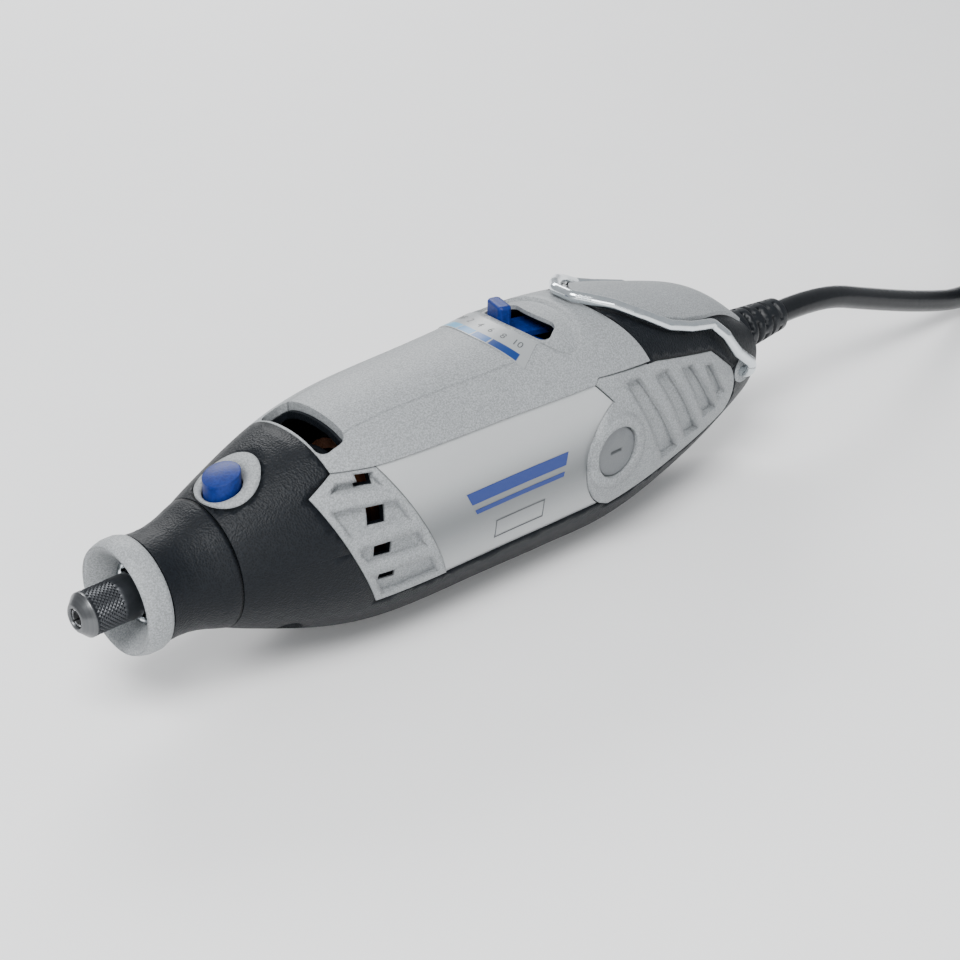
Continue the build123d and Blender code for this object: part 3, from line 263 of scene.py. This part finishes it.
def leather_grain():
    made = Finish("black_grain", IOR=1.46, Specular_IOR_Level=0.17)
    warp = made.noise(420, 2.0)
    waver = made.node("ShaderNodeTexNoise", {}, {"Scale": 500.0, "Vector": made.place()})
    vector = made.node("ShaderNodeVectorMath", {"operation": "MULTIPLY_ADD"},
                       {0: waver.outputs[1], 1: (0.0004, 0.0004, 0.0004), 2: made.place()}).outputs[0]
    grain = made.cells(2100, "F1", vector)
    fine = made.noise(4800, 2.0)
    height = grain * 0.8 + fine * 0.35
    tone = made.mix(grain.step(0.1, 0.8) * 0.55, colours().black, [part * 2.6 for part in colours().black])
    edges = made.rounded(0.00025)
    return made.set(Base_Color=tone, Roughness=0.36 + warp * 0.14, Normal=made.bump(height, 0.00010, edges))


def smooth_black():
    made = Finish("black_plastic", IOR=1.46, Specular_IOR_Level=0.17)
    haze = made.noise(800, 3.0)
    tone = made.mix(haze, (0.004, 0.005, 0.0065), (0.009, 0.011, 0.014))
    return made.set(Base_Color=tone, Roughness=0.34 + haze * 0.14,
                    Normal=made.bump(haze, 0.00003, made.rounded(0.0003)))


def plate_silver():
    """Satin silver print with painted sheen, brightest along its top and bottom and darker across its middle.
    """
    made = Finish("plate_silver", Metallic=0.35, IOR=1.5)
    along, across, up = made.axes()
    grain = made.noise(5200, 2.0)
    # Painted reflection: the plate is painted lighter along its top and bottom and darker between them.
    painted_top_sheen = up.step(at(0, 0, -1).z, at(0, 0, 17).z)
    low = 1 - up.step(at(0, 0, -14).z, at(0, 0, 0).z)
    tone = made.mix(painted_top_sheen, (0.17, 0.18, 0.185), (0.56, 0.575, 0.58))
    tone = made.mix(low * 0.85, tone, (0.46, 0.475, 0.48))
    tone = made.mix(grain * 0.12, tone, (0.20, 0.21, 0.215))
    return made.set(Base_Color=tone, Roughness=0.30 + grain * 0.10,
                    Normal=made.bump(grain, 0.000015, made.rounded(0.0002)))


def blue_plastic():
    made = Finish("blue_plastic", IOR=1.48, Coat_Roughness=0.3, Specular_IOR_Level=0.25)
    haze = made.noise(1500, 3.0)
    blue = colours().blue
    tone = made.mix(haze.step(0.3, 0.7), [part * 0.8 for part in blue], [part * 1.25 for part in blue])
    return made.set(Base_Color=tone, Roughness=0.38 + haze * 0.15, Coat_Weight=0.06,
                    Normal=made.bump(haze, 0.00005, made.rounded(0.0004)))


def cap_plastic():
    made = Finish("cap_plastic", IOR=1.46)
    haze = made.noise(2400, 3.0)
    tone = made.mix(haze, (0.115, 0.122, 0.128), (0.16, 0.17, 0.178))
    return made.set(Base_Color=tone, Roughness=0.48 + haze * 0.12,
                    Normal=made.bump(haze, 0.00005, made.rounded(0.00025)))


def black_steel():
    made = Finish("black_steel", Metallic=0.5, IOR=1.6)
    haze = made.noise(1300, 3.0)
    tone = made.mix(haze, (0.012, 0.014, 0.018), (0.026, 0.029, 0.034))
    return made.set(Base_Color=tone, Roughness=0.30 + haze * 0.16, Normal=made.bump(haze, 0.00002))


def chamfer_steel():
    """Black steel rubbed bright in turned rings."""
    made = Finish("chamfer_steel", Metallic=0.9)
    along, across, up = made.axes()
    ring = made.noise(2600, 1.0, vector=made.node("ShaderNodeCombineXYZ", {}, {0: along.socket}).outputs[0])
    tone = made.mix(ring, (0.085, 0.088, 0.092), (0.16, 0.165, 0.17))
    return made.set(Base_Color=tone, Roughness=0.26 + ring * 0.14)


def bright_steel():
    made = Finish("bright_steel", Metallic=1.0)
    haze = made.noise(700, 3.0)
    tone = made.mix(haze, (0.62, 0.67, 0.70), (0.78, 0.82, 0.84))
    return made.set(Base_Color=tone, Roughness=0.14 + haze * 0.10)


def machined_steel():
    made = Finish("machined_steel", Metallic=1.0)
    along, across, up = made.axes()
    ring = made.noise(3000, 2.0, vector=made.node("ShaderNodeCombineXYZ", {}, {0: along.socket}).outputs[0])
    tone = made.mix(ring, (0.36, 0.37, 0.38), (0.55, 0.56, 0.57))
    return made.set(Base_Color=tone, Roughness=0.28 + ring * 0.12)


def core_steel():
    """Stacked laminations seen edge on."""
    made = Finish("core_steel", Metallic=0.8)
    along, across, up = made.axes()
    sheet = made.number("ShaderNodeMath", {"operation": "SINE"}, {0: along * (2 * math.pi / (0.5 * MM))})
    tone = made.mix(sheet.step(-0.3, 0.6), (0.07, 0.07, 0.075), (0.26, 0.265, 0.27))
    return made.set(Base_Color=tone, Roughness=0.42, Normal=made.bump(sheet, 0.00005))


def copper_wire():
    made = Finish("copper_wire", Metallic=0.85)
    strand = made.noise(1800, 2.0)
    tone = made.mix(strand, (0.11, 0.036, 0.014), (0.26, 0.10, 0.042))
    return made.set(Base_Color=tone, Roughness=0.30 + strand * 0.15, Normal=made.bump(strand, 0.0001))


def brass():
    made = Finish("brass", Metallic=1.0)
    haze = made.noise(900, 2.0)
    return made.set(Base_Color=made.mix(haze, (0.55, 0.36, 0.12), (0.70, 0.48, 0.18)),
                    Roughness=0.25 + haze * 0.15)


def carbon():
    made = Finish("carbon")
    haze = made.noise(2600, 3.0)
    return made.set(Base_Color=made.mix(haze, (0.018, 0.018, 0.018), (0.05, 0.05, 0.052)), Roughness=0.55)


def circuit_board():
    made = Finish("circuit_board")
    track = made.cells(420, "F1")
    tone = made.mix(track.step(0.3, 0.6), (0.01, 0.11, 0.045), (0.02, 0.19, 0.08))
    return made.set(Base_Color=tone, Roughness=0.35)


def cord_rubber():
    made = Finish("cord_rubber", IOR=1.5, Specular_IOR_Level=0.3)
    haze = made.noise(500, 3.0)
    tone = made.mix(haze, (0.003, 0.004, 0.005), (0.006, 0.007, 0.009))
    return made.set(Base_Color=tone, Roughness=0.20 + haze * 0.08, Normal=made.bump(haze, 0.00006))


def guard_rubber():
    made = Finish("guard_rubber", IOR=1.5, Specular_IOR_Level=0.25)
    haze = made.noise(1100, 3.0)
    tone = made.mix(haze, (0.003, 0.004, 0.0055), (0.008, 0.010, 0.013))
    return made.set(Base_Color=tone, Roughness=0.30 + haze * 0.12,
                    Normal=made.bump(haze, 0.00004, made.rounded(0.0004)))


def print_blue():
    made = Finish("print_blue")
    haze = made.noise(4000, 2.0)
    blue = colours().print_blue
    return made.set(Base_Color=made.mix(haze * 0.2, blue, [part * 0.8 for part in blue]), Roughness=0.4)


def print_dark():
    made = Finish("print_dark")
    haze = made.noise(4000, 2.0)
    return made.set(Base_Color=made.mix(haze, (0.045, 0.05, 0.055), (0.08, 0.085, 0.09)), Roughness=0.45)


def label_film():
    """Grey film with a band that deepens from pale to strong blue as the speed rises."""
    made = Finish("label_film", IOR=1.5)
    along, across, up = made.axes()
    back = LEVER_X - MID_LENGTH
    angle = made.number("ShaderNodeMath", {"operation": "ARCTAN2"}, {0: -1 * across, 1: back * MM - along})
    reach = made.number("ShaderNodeVectorMath", {"operation": "LENGTH"}, {
        0: made.node("ShaderNodeCombineXYZ", {}, {0: (along - back * MM).socket, 1: across.socket}).outputs[0]},
        output=1)
    band = reach.step(30.55 * MM, 30.65 * MM) * (1 - reach.step(32.85 * MM, 32.95 * MM))
    share = (angle + math.radians(31)) / math.radians(54.5)
    level = made.node("ShaderNodeValToRGB", {}, {0: share})
    ramp = level.color_ramp
    ramp.interpolation = "CONSTANT"
    steps = [(0.0, (0.20, 0.42, 0.55)), (0.18, (0.07, 0.29, 0.48)), (0.38, (0.016, 0.17, 0.38)),
             (0.55, (0.004, 0.080, 0.26)), (0.72, (0.001, 0.028, 0.15))]
    while len(ramp.elements) < len(steps):
        ramp.elements.new(0.5)
    for element, (position, colour) in zip(ramp.elements, steps):
        element.position = position
        element.color = (*colour, 1.0)
    ends = share.step(0.0, 0.01) * (1 - share.step(0.97, 0.98))
    gaps = ends
    for position in (0.18, 0.38, 0.55, 0.72):
        gaps = gaps * (share - position).size().step(0.004, 0.010)
    tone = made.mix(band * gaps, (0.27, 0.283, 0.29), level.outputs[0])
    return made.set(Base_Color=tone, Roughness=0.34)


def floor_paint():
    made = Finish("floor_paint", Specular_IOR_Level=0.2)
    haze = made.noise(40, 2.0)
    return made.set(Base_Color=made.mix(haze, (0.88, 0.88, 0.88), (0.90, 0.90, 0.90)), Roughness=0.7)


# ---- making pieces -----------------------------------------------------------------
def new_piece(name, shape, make, body="housing", smooth_angle=40):
    """A mesh object from a bmesh, with its material and ride."""
    mesh = bpy.data.meshes.new(name)
    shape.to_mesh(mesh)
    shape.free()
    mesh.materials.append(finish(make))
    mesh.shade_smooth()
    mesh.set_sharp_from_angle(angle=math.radians(smooth_angle))
    piece = bpy.data.objects.new(name, mesh)
    bpy.context.scene.collection.objects.link(piece)
    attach(piece, body)
    return piece


def node_shape(*nodes):
    """CAD nodes' loose triangles, merged into one bmesh."""
    shape = bmesh.new()
    for node in nodes:
        shape.from_mesh(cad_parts[node].data)
    bmesh.ops.remove_doubles(shape, verts=shape.verts, dist=0.000002)
    bmesh.ops.dissolve_degenerate(shape, edges=shape.edges, dist=0.000001)
    return shape


def skin(node, make, body="housing", smooth_angle=30):
    """A smooth-shaded piece with a CAD node's own shape, which stands for the node."""
    piece = new_piece(node + "_skin", node_shape(node), make, body, smooth_angle)
    weigh = piece.modifiers.new("weighted normals", "WEIGHTED_NORMAL")
    weigh.keep_sharp = True
    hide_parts(node)
    return piece


def paint(make, *nodes):
    """Give CAD nodes a material."""
    for node in nodes:
        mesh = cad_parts[node].data
        mesh.materials.clear()
        mesh.materials.append(finish(make))


def surface_of(*nodes):
    """A search tree over CAD nodes' triangles."""
    shape = node_shape(*nodes)
    tree = BVHTree.FromBMesh(shape)
    shape.free()
    return tree


def drop(tree, point, direction, lift):
    """The point moved along direction onto a surface, then lifted off it."""
    hit, normal, index, distance = tree.ray_cast(point, direction)
    if hit is None:
        raise RuntimeError("a printed mark misses its surface")
    return hit - direction * lift


def text_shape(text, size):
    """A flat mesh of a short text, centred on the origin."""
    curve = bpy.data.curves.new("text " + text, "FONT")
    curve.body = text
    curve.size = size
    curve.align_x = "CENTER"
    curve.align_y = "CENTER"
    curve.resolution_u = 4
    holder = bpy.data.objects.new("text " + text, curve)
    mesh = bpy.data.meshes.new_from_object(holder)
    bpy.data.objects.remove(holder)
    shape = bmesh.new()
    shape.from_mesh(mesh)
    return shape


# ---- pieces ------------------------------------------------------------------------
def add_area_light(name, place, target, size, power, colour=(1, 1, 1)):
    lamp = bpy.data.lights.new(name, "AREA")
    lamp.shape = "RECTANGLE"
    lamp.size, lamp.size_y = size
    lamp.energy = power
    lamp.color = colour
    holder = bpy.data.objects.new(name, lamp)
    holder.location = place
    holder.rotation_euler = (Vector(target) - Vector(place)).to_track_quat("-Z", "Y").to_euler()
    bpy.context.scene.collection.objects.link(holder)


class ROTARY_OT_stage(bpy.types.Operator):
    """Floor, soft light and camera"""
    bl_idname = "rotary.stage"
    bl_label = "Stage"

    def execute(self, context):
        scene = context.scene
        lens = bpy.data.cameras.new("camera")
        lens.lens = 76.9
        lens.sensor_width = 36.0
        lens.shift_x = 0.0432
        lens.shift_y = -0.0204
        lens.clip_start = 0.01
        camera = bpy.data.objects.new("camera", lens)
        across, up, back = (0.7490, -0.6626, 0.0), (0.3263, 0.3688, 0.8704), (-0.5767, -0.6519, 0.4924)
        turn = Matrix((across, up, back)).transposed().to_4x4()
        camera.matrix_world = Matrix.Translation((-0.2873, -0.3129, 0.2648)) @ turn
        scene.collection.objects.link(camera)
        scene.camera = camera
        world = bpy.data.worlds.new("studio")
        world.use_nodes = True
        world.node_tree.nodes["Background"].inputs["Color"].default_value = (0.93, 0.96, 1.0, 1.0)
        world.node_tree.nodes["Background"].inputs["Strength"].default_value = 0.55
        scene.world = world
        add_area_light("key", (-0.45, -0.25, 0.85), (0.0, 0.0, 0.02), (0.5, 0.5), 13)
        add_area_light("front", (-0.35, -0.85, 0.35), (0.0, 0.0, 0.03), (0.5, 0.35), 3.5)
        add_area_light("rim", (0.35, 0.75, 0.55), (0.0, 0.0, 0.03), (0.6, 0.3), 7)
        ground = bmesh.new()
        bmesh.ops.create_grid(ground, x_segments=2, y_segments=2, size=3.0)
        mesh = bpy.data.meshes.new("floor")
        ground.to_mesh(mesh)
        ground.free()
        mesh.materials.append(finish(floor_paint))
        floor = bpy.data.objects.new("floor", mesh)
        scene.collection.objects.link(floor)
        return {"FINISHED"}


FLOOR_Z = CORD_RADIUS - AXIS_HEIGHT
CORD_RUN = [
    CORD_EXIT, (239.0, 0.0, 0.0), (262.0, 0.0, -8.4), (286.0, 0.4, -16.8), (309.0, 1.2, -23.6),
    (329.0, 5.2, FLOOR_Z), (345.0, 15.4, FLOOR_Z), (357.0, 22.0, FLOOR_Z),
]
CORD_TAIL = [(432.0, 25.2, -6.35), (451.0, 24.2, -7.4), (472.0, 17.4, -15.4), (490.0, 9.0, 7.0 - AXIS_HEIGHT),
             (506.0, 9.0, 7.0 - AXIS_HEIGHT)]
HANK_MIDDLE = 400.0
HANK_HALF = 32.0           # half the length of the straight runs
INNER, OUTER = 18.9, 25.2
BEND_GROWTH = 1.025        # control points of a bend stand this much outside its radius
# Lane and layer at the start and end of each run: far side, tail bend, near side, nose bend, and so on.
HANK_RUNS = [
    (OUTER, OUTER, 0, 0), (OUTER, OUTER, 0, 0), (OUTER, INNER, 0, 0), (INNER, INNER, 0, 0),
    (INNER, INNER, 0, 0), (INNER, INNER, 0, 1), (INNER, INNER, 1, 1), (INNER, INNER, 1, 1),
    (INNER, OUTER, 1, 1), (OUTER, OUTER, 1, 1), (OUTER, OUTER, 1, 1), (OUTER, OUTER, 1, 2),
    (OUTER, OUTER, 2, 2), (OUTER, OUTER, 2, 2), (OUTER, INNER, 2, 2), (INNER, INNER, 2, 2),
    (INNER, INNER, 2, 2), (INNER, INNER, 2, 3), (INNER, INNER, 3, 3), (INNER, INNER, 3, 3),
    (INNER, OUTER, 3, 3),
]


def hank_points():
    """Points of the wound part, which climbs from the floor as it goes round."""
    points = []
    for run, (start, end, low, high) in enumerate(HANK_RUNS):
        bend = run % 2
        steps = 6 if bend else 3
        heading = 1 if run % 4 < 2 else -1
        for step in range(steps):
            share = step / steps
            radius = start + share * (end - start)
            z = FLOOR_Z + 2 * CORD_RADIUS * (low + share * (high - low))
            if bend:
                turn = math.radians(90 - 180 * share)
                reach = radius * BEND_GROWTH
                x = heading * (HANK_HALF + reach * math.cos(turn))
                y = heading * reach * math.sin(turn)
            else:
                x = heading * (2 * share - 1) * HANK_HALF
                y = heading * radius
            points.append((HANK_MIDDLE + x, y, z))
    return points


def tie_strap():
    """A flat strap round the middle of the hank."""
    shape = bmesh.new()
    rings = []
    for x, inset in ((-4.5, 0.0), (4.5, 0.0), (4.5, 0.9), (-4.5, 0.9)):
        ring = []
        for step in range(48):
            angle = 2 * math.pi * (step + 0.5) / 48
            across, up = math.cos(angle), math.sin(angle)
            y = math.copysign(OUTER + CORD_RADIUS - 4.0, across) + (5.0 - inset) * across
            z = 13.05 + math.copysign(8.0, up) + (5.0 - inset) * up
            ring.append(shape.verts.new(at(HANK_MIDDLE + x, y, z - AXIS_HEIGHT)))
        rings.append(ring)
    for ring, other in zip(rings, rings[1:] + rings[:1]):
        for step in range(48):
            after = (step + 1) % 48
            shape.faces.new((ring[step], ring[after], other[after], other[step]))
    bmesh.ops.recalc_face_normals(shape, faces=shape.faces)
    return shape


class ROTARY_OT_cord(bpy.types.Operator):
    """Mains cord, its tied hank and its plug"""
    bl_idname = "rotary.cord"
    bl_label = "Cord and plug"

    def execute(self, context):
        route = CORD_RUN + hank_points() + CORD_TAIL
        curve = bpy.data.curves.new("mains_cord", "CURVE")
        curve.dimensions = "3D"
        curve.bevel_depth = CORD_RADIUS * MM
        curve.bevel_resolution = 5
        curve.use_fill_caps = True
        curve.resolution_u = 6
        spline = curve.splines.new("NURBS")
        spline.points.add(len(route) - 1)
        for point, place in zip(spline.points, route):
            point.co = (*at(*place), 1.0)
        spline.order_u = 3
        spline.use_endpoint_u = True
        curve.materials.append(finish(cord_rubber))
        cord = bpy.data.objects.new("mains_cord", curve)
        context.scene.collection.objects.link(cord)
        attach(cord, "housing")
        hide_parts("cord", "cord_hank", "cord_tail")
        paint(bright_steel, "plug_pins")
        plug = skin("plug", guard_rubber)
        strap = new_piece("tie_strap", tie_strap(), guard_rubber)
        tuple(at(*CORD_EXIT))
        return {"FINISHED"}


class ROTARY_OT_shells(bpy.types.Operator):
    """Black upper and lower shells and the housing screws"""
    bl_idname = "rotary.shells"
    bl_label = "Shells"

    def execute(self, context):
        skin("upper_shell", leather_grain)
        skin("lower_shell", leather_grain)
        paint(black_steel, "housing_screws")
        return {"FINISHED"}


class ROTARY_OT_covers(bpy.types.Operator):
    """Grey top cover and rear hood"""
    bl_idname = "rotary.covers"
    bl_label = "Top cover and hood"

    def execute(self, context):
        skin("top_cover", cover_plastic)
        skin("rear_hood", grey_plastic)
        return {"FINISHED"}


class ROTARY_OT_grilles(bpy.types.Operator):
    """Exhaust grilles on both sides"""
    bl_idname = "rotary.grilles"
    bl_label = "Grilles"

    def execute(self, context):
        for side in ("left", "right"):
            skin(side + "_vent_grille", soft_grey)
        return {"FINISHED"}


def mark_strip(shape, corners, parts):
    """A flat strip between two ends, given as side-view corners, divided along its length."""
    verts = [shape.verts.new(Vector((x, 0.0, z))) for x, z in corners]
    shape.faces.new(verts)
    edges = [shape.edges.get((verts[0], verts[1])), shape.edges.get((verts[2], verts[3]))]
    bmesh.ops.subdivide_edges(shape, edges=edges, cuts=parts, use_grid_fill=True)


PLATE_STRIPES = [
    ((88.0, 5.4), (119.0, 5.4), (118.2, 2.2), (89.6, 2.2)),
    ((90.4, 0.6), (117.8, 0.6), (117.5, -0.6), (91.0, -0.6)),
]
FRAME_LOW = (97.0, -9.6)
FRAME_HIGH = (112.0, -4.6)
FRAME_LINE = 0.35


def frame_strips():
    """The four sides of the thin box printed on the plate."""
    (left, low), (right, high) = FRAME_LOW, FRAME_HIGH
    line = FRAME_LINE
    return [
        ((left, high), (right, high), (right, high - line), (left, high - line)),
        ((left, low + line), (right, low + line), (right, low), (left, low)),
        ((left, high), (left + line, high), (left + line, low), (left, low)),
        ((right - line, high), (right, high), (right, low), (right - line, low)),
    ]


class ROTARY_OT_plates(bpy.types.Operator):
    """Silver side plates with plain printed stripes"""
    bl_idname = "rotary.plates"
    bl_label = "Side plates"

    def execute(self, context):
        for side, sign in (("left", -1), ("right", 1)):
            plate = side + "_name_plate"
            skin(plate, plate_silver)
            tree = surface_of(plate)
            toward = Vector((0, -sign, 0))
            for name, strips, make in (("stripes", PLATE_STRIPES, print_blue),
                                       ("box", frame_strips(), print_dark)):
                shape = bmesh.new()
                for corners in strips:
                    mark_strip(shape, corners, 11)
                bmesh.ops.remove_doubles(shape, verts=shape.verts, dist=0.0001)
                for vert in shape.verts:
                    place = at(vert.co.x, sign * 60, vert.co.z)
                    vert.co = drop(tree, place, toward, sizes().line_height)
                bmesh.ops.solidify(shape, geom=shape.faces, thickness=0.00003)
                bmesh.ops.recalc_face_normals(shape, faces=shape.faces)
                new_piece(f"{side}_plate_{name}", shape, make)
        return {"FINISHED"}


class ROTARY_OT_grips(bpy.types.Operator):
    """Recessed grip panels and brush caps"""
    bl_idname = "rotary.grips"
    bl_label = "Grip panels and brush caps"

    def execute(self, context):
        for side in ("left", "right"):
            skin(side + "_grip_panel", soft_grey)
            skin(side + "_brush_cap", cap_plastic, body=side + "_cap")
        return {"FINISHED"}


class ROTARY_OT_nose(bpy.types.Operator):
    """Black nose housing, grey nose cap and its steel wrench insert"""
    bl_idname = "rotary.nose"
    bl_label = "Nose"

    def execute(self, context):
        skin("nose_housing", leather_grain)
        skin("nose_cap", soft_grey, body="cap")
        skin("wrench_insert", bright_steel, body="cap")
        return {"FINISHED"}


NUT_RADIUS = 5.05
NUT_LENGTH = 14.4
KNURL_START = 2.45
KNURL_END = 9.9
BORE_RADIUS = 2.15


def nut_profile(pitch):
    """Distance along the nut and radius at each ring of points, from the bore's mouth to its inside rear."""
    rings = [(2.0, BORE_RADIUS), (0.35, BORE_RADIUS), (0.1, BORE_RADIUS + 0.15), (0.0, BORE_RADIUS + 0.35),
             (0.0, 2.75), (0.08, 3.0), (0.3, 3.3), (2.0, 4.95), (2.2, NUT_RADIUS)]
    count = round((KNURL_END - KNURL_START) / pitch)
    rings += [(KNURL_START + pitch * step, NUT_RADIUS) for step in range(count + 1)]
    rings += [(10.4, NUT_RADIUS), (12.0, NUT_RADIUS), (13.6, NUT_RADIUS), (14.1, 4.9), (NUT_LENGTH, 4.5),
              (NUT_LENGTH, 3.6), (12.0, 3.6)]
    return rings


def knurled_nut():
    """The collet nut: a profile spun round the axis, then pressed into diamonds."""
    pitch = sizes().knurl_pitch / MM
    depth = sizes().knurl_depth / MM
    columns = sizes().knurl_columns
    rings = nut_profile(pitch)
    shape = bmesh.new()
    verts = [shape.verts.new(at(x, 0, radius)) for x, radius in rings]
    for low, high in zip(verts, verts[1:]):
        shape.edges.new((low, high))
    bmesh.ops.spin(shape, geom=shape.verts[:] + shape.edges[:], cent=at(0, 0, 0), axis=(1, 0, 0),
                   dvec=(0, 0, 0), angle=2 * math.pi, steps=columns, use_merge=True)
    low_verts = set()
    for vert in shape.verts:
        x = vert.co.x / MM + MID_LENGTH
        y = vert.co.y / MM
        z = vert.co.z / MM - AXIS_HEIGHT
        radius = math.hypot(y, z)
        if radius < NUT_RADIUS - 0.6 or not KNURL_START < x < KNURL_END:
            continue
        angle = math.atan2(y, z)
        column = round(angle / (2 * math.pi) * columns)
        row = round((x - KNURL_START) / pitch)
        wanted = NUT_RADIUS
        if (column + row) % 2:
            wanted -= depth
            low_verts.add(vert)
        scale = wanted / radius
        vert.co = at(x, y * scale, z * scale)
    for face in shape.faces[:]:
        valleys = [vert for vert in face.verts if vert in low_verts]
        if len(face.verts) == 4 and len(valleys) == 2:
            bmesh.ops.connect_verts(shape, verts=valleys)
    bmesh.ops.recalc_face_normals(shape, faces=shape.faces)
    return shape


class ROTARY_OT_collet_nut(bpy.types.Operator):
    """Knurled collet nut, collet and spindle"""
    bl_idname = "rotary.collet_nut"
    bl_label = "Collet nut and spindle"

    def execute(self, context):
        nut = new_piece("knurled_nut", knurled_nut(), black_steel, body="nut",
                        smooth_angle=24)
        nut.data.materials.append(finish(chamfer_steel))
        for face in nut.data.polygons:
            if face.center.x < at(2.35, 0, 0).x:
                face.material_index = 1
        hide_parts("collet_nut")
        paint(machined_steel, "collet", "spindle", "lock_collar")
        return {"FINISHED"}


class ROTARY_OT_lock(bpy.types.Operator):
    """Spindle lock button in its bezel"""
    bl_idname = "rotary.lock"
    bl_label = "Spindle lock"

    def execute(self, context):
        skin("lock_button", blue_plastic, body="lock")
        skin("lock_bezel", soft_grey)
        paint(machined_steel, "lock_pin")
        paint(bright_steel, "lock_spring")
        return {"FINISHED"}


class ROTARY_OT_speed(bpy.types.Operator):
    """Speed lever, its guide and its numbered scale"""
    bl_idname = "rotary.speed"
    bl_label = "Speed lever and scale"

    def execute(self, context):
        skin("speed_lever", blue_plastic, body="lever")
        skin("lever_guide", blue_plastic)
        skin("scale_label", label_film)
        tree = surface_of("scale_label")
        marks = bmesh.new()
        words = [("OFF", -23.5), ("2", -13.0), ("4", -4.5), ("6", 3.0), ("8", 10.5), ("10", 18.5)]
        for word, degrees in words:
            letters = text_shape(word, sizes().digit_size)
            turn = math.radians(degrees)
            middle = at(LEVER_X - 28.2 * math.cos(turn), -28.2 * math.sin(turn), 0)
            facing = Matrix.Rotation(math.radians(-90) + turn, 4, "Z")
            letters.transform(Matrix.Translation((middle.x, middle.y, 0)) @ facing)
            mesh = bpy.data.meshes.new(word)
            letters.to_mesh(mesh)
            letters.free()
            marks.from_mesh(mesh)
        bmesh.ops.triangulate(marks, faces=marks.faces)
        for vert in marks.verts:
            place = Vector((vert.co.x, vert.co.y, 0.1))
            vert.co = drop(tree, place, Vector((0, 0, -1)), 0.00004)
        new_piece("scale_numbers", marks, print_dark)
        paint(machined_steel, "lever_pin")
        paint(circuit_board, "speed_board")
        paint(cap_plastic, "capacitor")
        return {"FINISHED"}


class ROTARY_OT_hanger(bpy.types.Operator):
    """Wire hanger bail and its bushes"""
    bl_idname = "rotary.hanger"
    bl_label = "Hanger bail"

    def execute(self, context):
        skin("hanger_bail", bright_steel, body="bail", smooth_angle=50)
        skin("hanger_bushes", grey_plastic)
        return {"FINISHED"}


class ROTARY_OT_guard(bpy.types.Operator):
    """Flexible cord guard, inner lead and clamp"""
    bl_idname = "rotary.guard"
    bl_label = "Cord guard"

    def execute(self, context):
        skin("cord_guard", guard_rubber)
        paint(cord_rubber, "inner_lead")
        paint(cap_plastic, "cord_clamp")
        paint(machined_steel, "clamp_screws")
        return {"FINISHED"}


class ROTARY_OT_motor(bpy.types.Operator):
    """Motor, bearings, brushes and fan"""
    bl_idname = "rotary.motor"
    bl_label = "Motor"

    def execute(self, context):
        for place in ("front", "rear"):
            paint(bright_steel, place + "_bearing_outer", place + "_bearing_inner", place + "_bearing_balls")
        paint(smooth_black, "bearing_sleeve", "rear_bracket", "cooling_fan")
        paint(core_steel, "armature_core", "stator_core")
        paint(copper_wire, "armature_windings", "upper_field_coil", "lower_field_coil", "commutator")
        paint(brass, "brush_holders")
        paint(bright_steel, "brush_springs")
        paint(carbon, "left_carbon_brush", "right_carbon_brush")
        return {"FINISHED"}


STEPS = ["stage", "cord", "shells", "covers", "grilles", "plates", "grips", "nose", "collet_nut", "lock",
         "speed", "hanger", "guard", "motor"]


class ROTARY_PT_pieces(bpy.types.Panel):
    """Lists the pieces of the rotary tool"""
    bl_idname = "ROTARY_PT_pieces"
    bl_label = "Rotary tool"
    bl_space_type = "VIEW_3D"
    bl_region_type = "UI"
    bl_category = "Rotary tool"

    def draw(self, context):
        layout = self.layout
        for group in (context.scene.rotary_tool_sizes, context.scene.rotary_tool_colours):
            for name in group.__annotations__:
                layout.prop(group, name)
        for step in STEPS:
            layout.operator("rotary." + step)


CLASSES = [
    RotaryToolSizes, RotaryToolColours, ROTARY_OT_stage, ROTARY_OT_cord, ROTARY_OT_shells, ROTARY_OT_covers,
    ROTARY_OT_grilles, ROTARY_OT_plates, ROTARY_OT_grips, ROTARY_OT_nose, ROTARY_OT_collet_nut,
    ROTARY_OT_lock, ROTARY_OT_speed, ROTARY_OT_hanger, ROTARY_OT_guard, ROTARY_OT_motor, ROTARY_PT_pieces,
]


def register():
    for cls in CLASSES:
        bpy.utils.register_class(cls)
    bpy.types.Scene.rotary_tool_sizes = PointerProperty(type=RotaryToolSizes)
    bpy.types.Scene.rotary_tool_colours = PointerProperty(type=RotaryToolColours)


def unregister():
    del bpy.types.Scene.rotary_tool_sizes
    del bpy.types.Scene.rotary_tool_colours
    for cls in reversed(CLASSES):
        bpy.utils.unregister_class(cls)


def main():
    register()
    for step in STEPS:
        getattr(bpy.ops.rotary, step)()


if __name__ == "__main__":
    main()
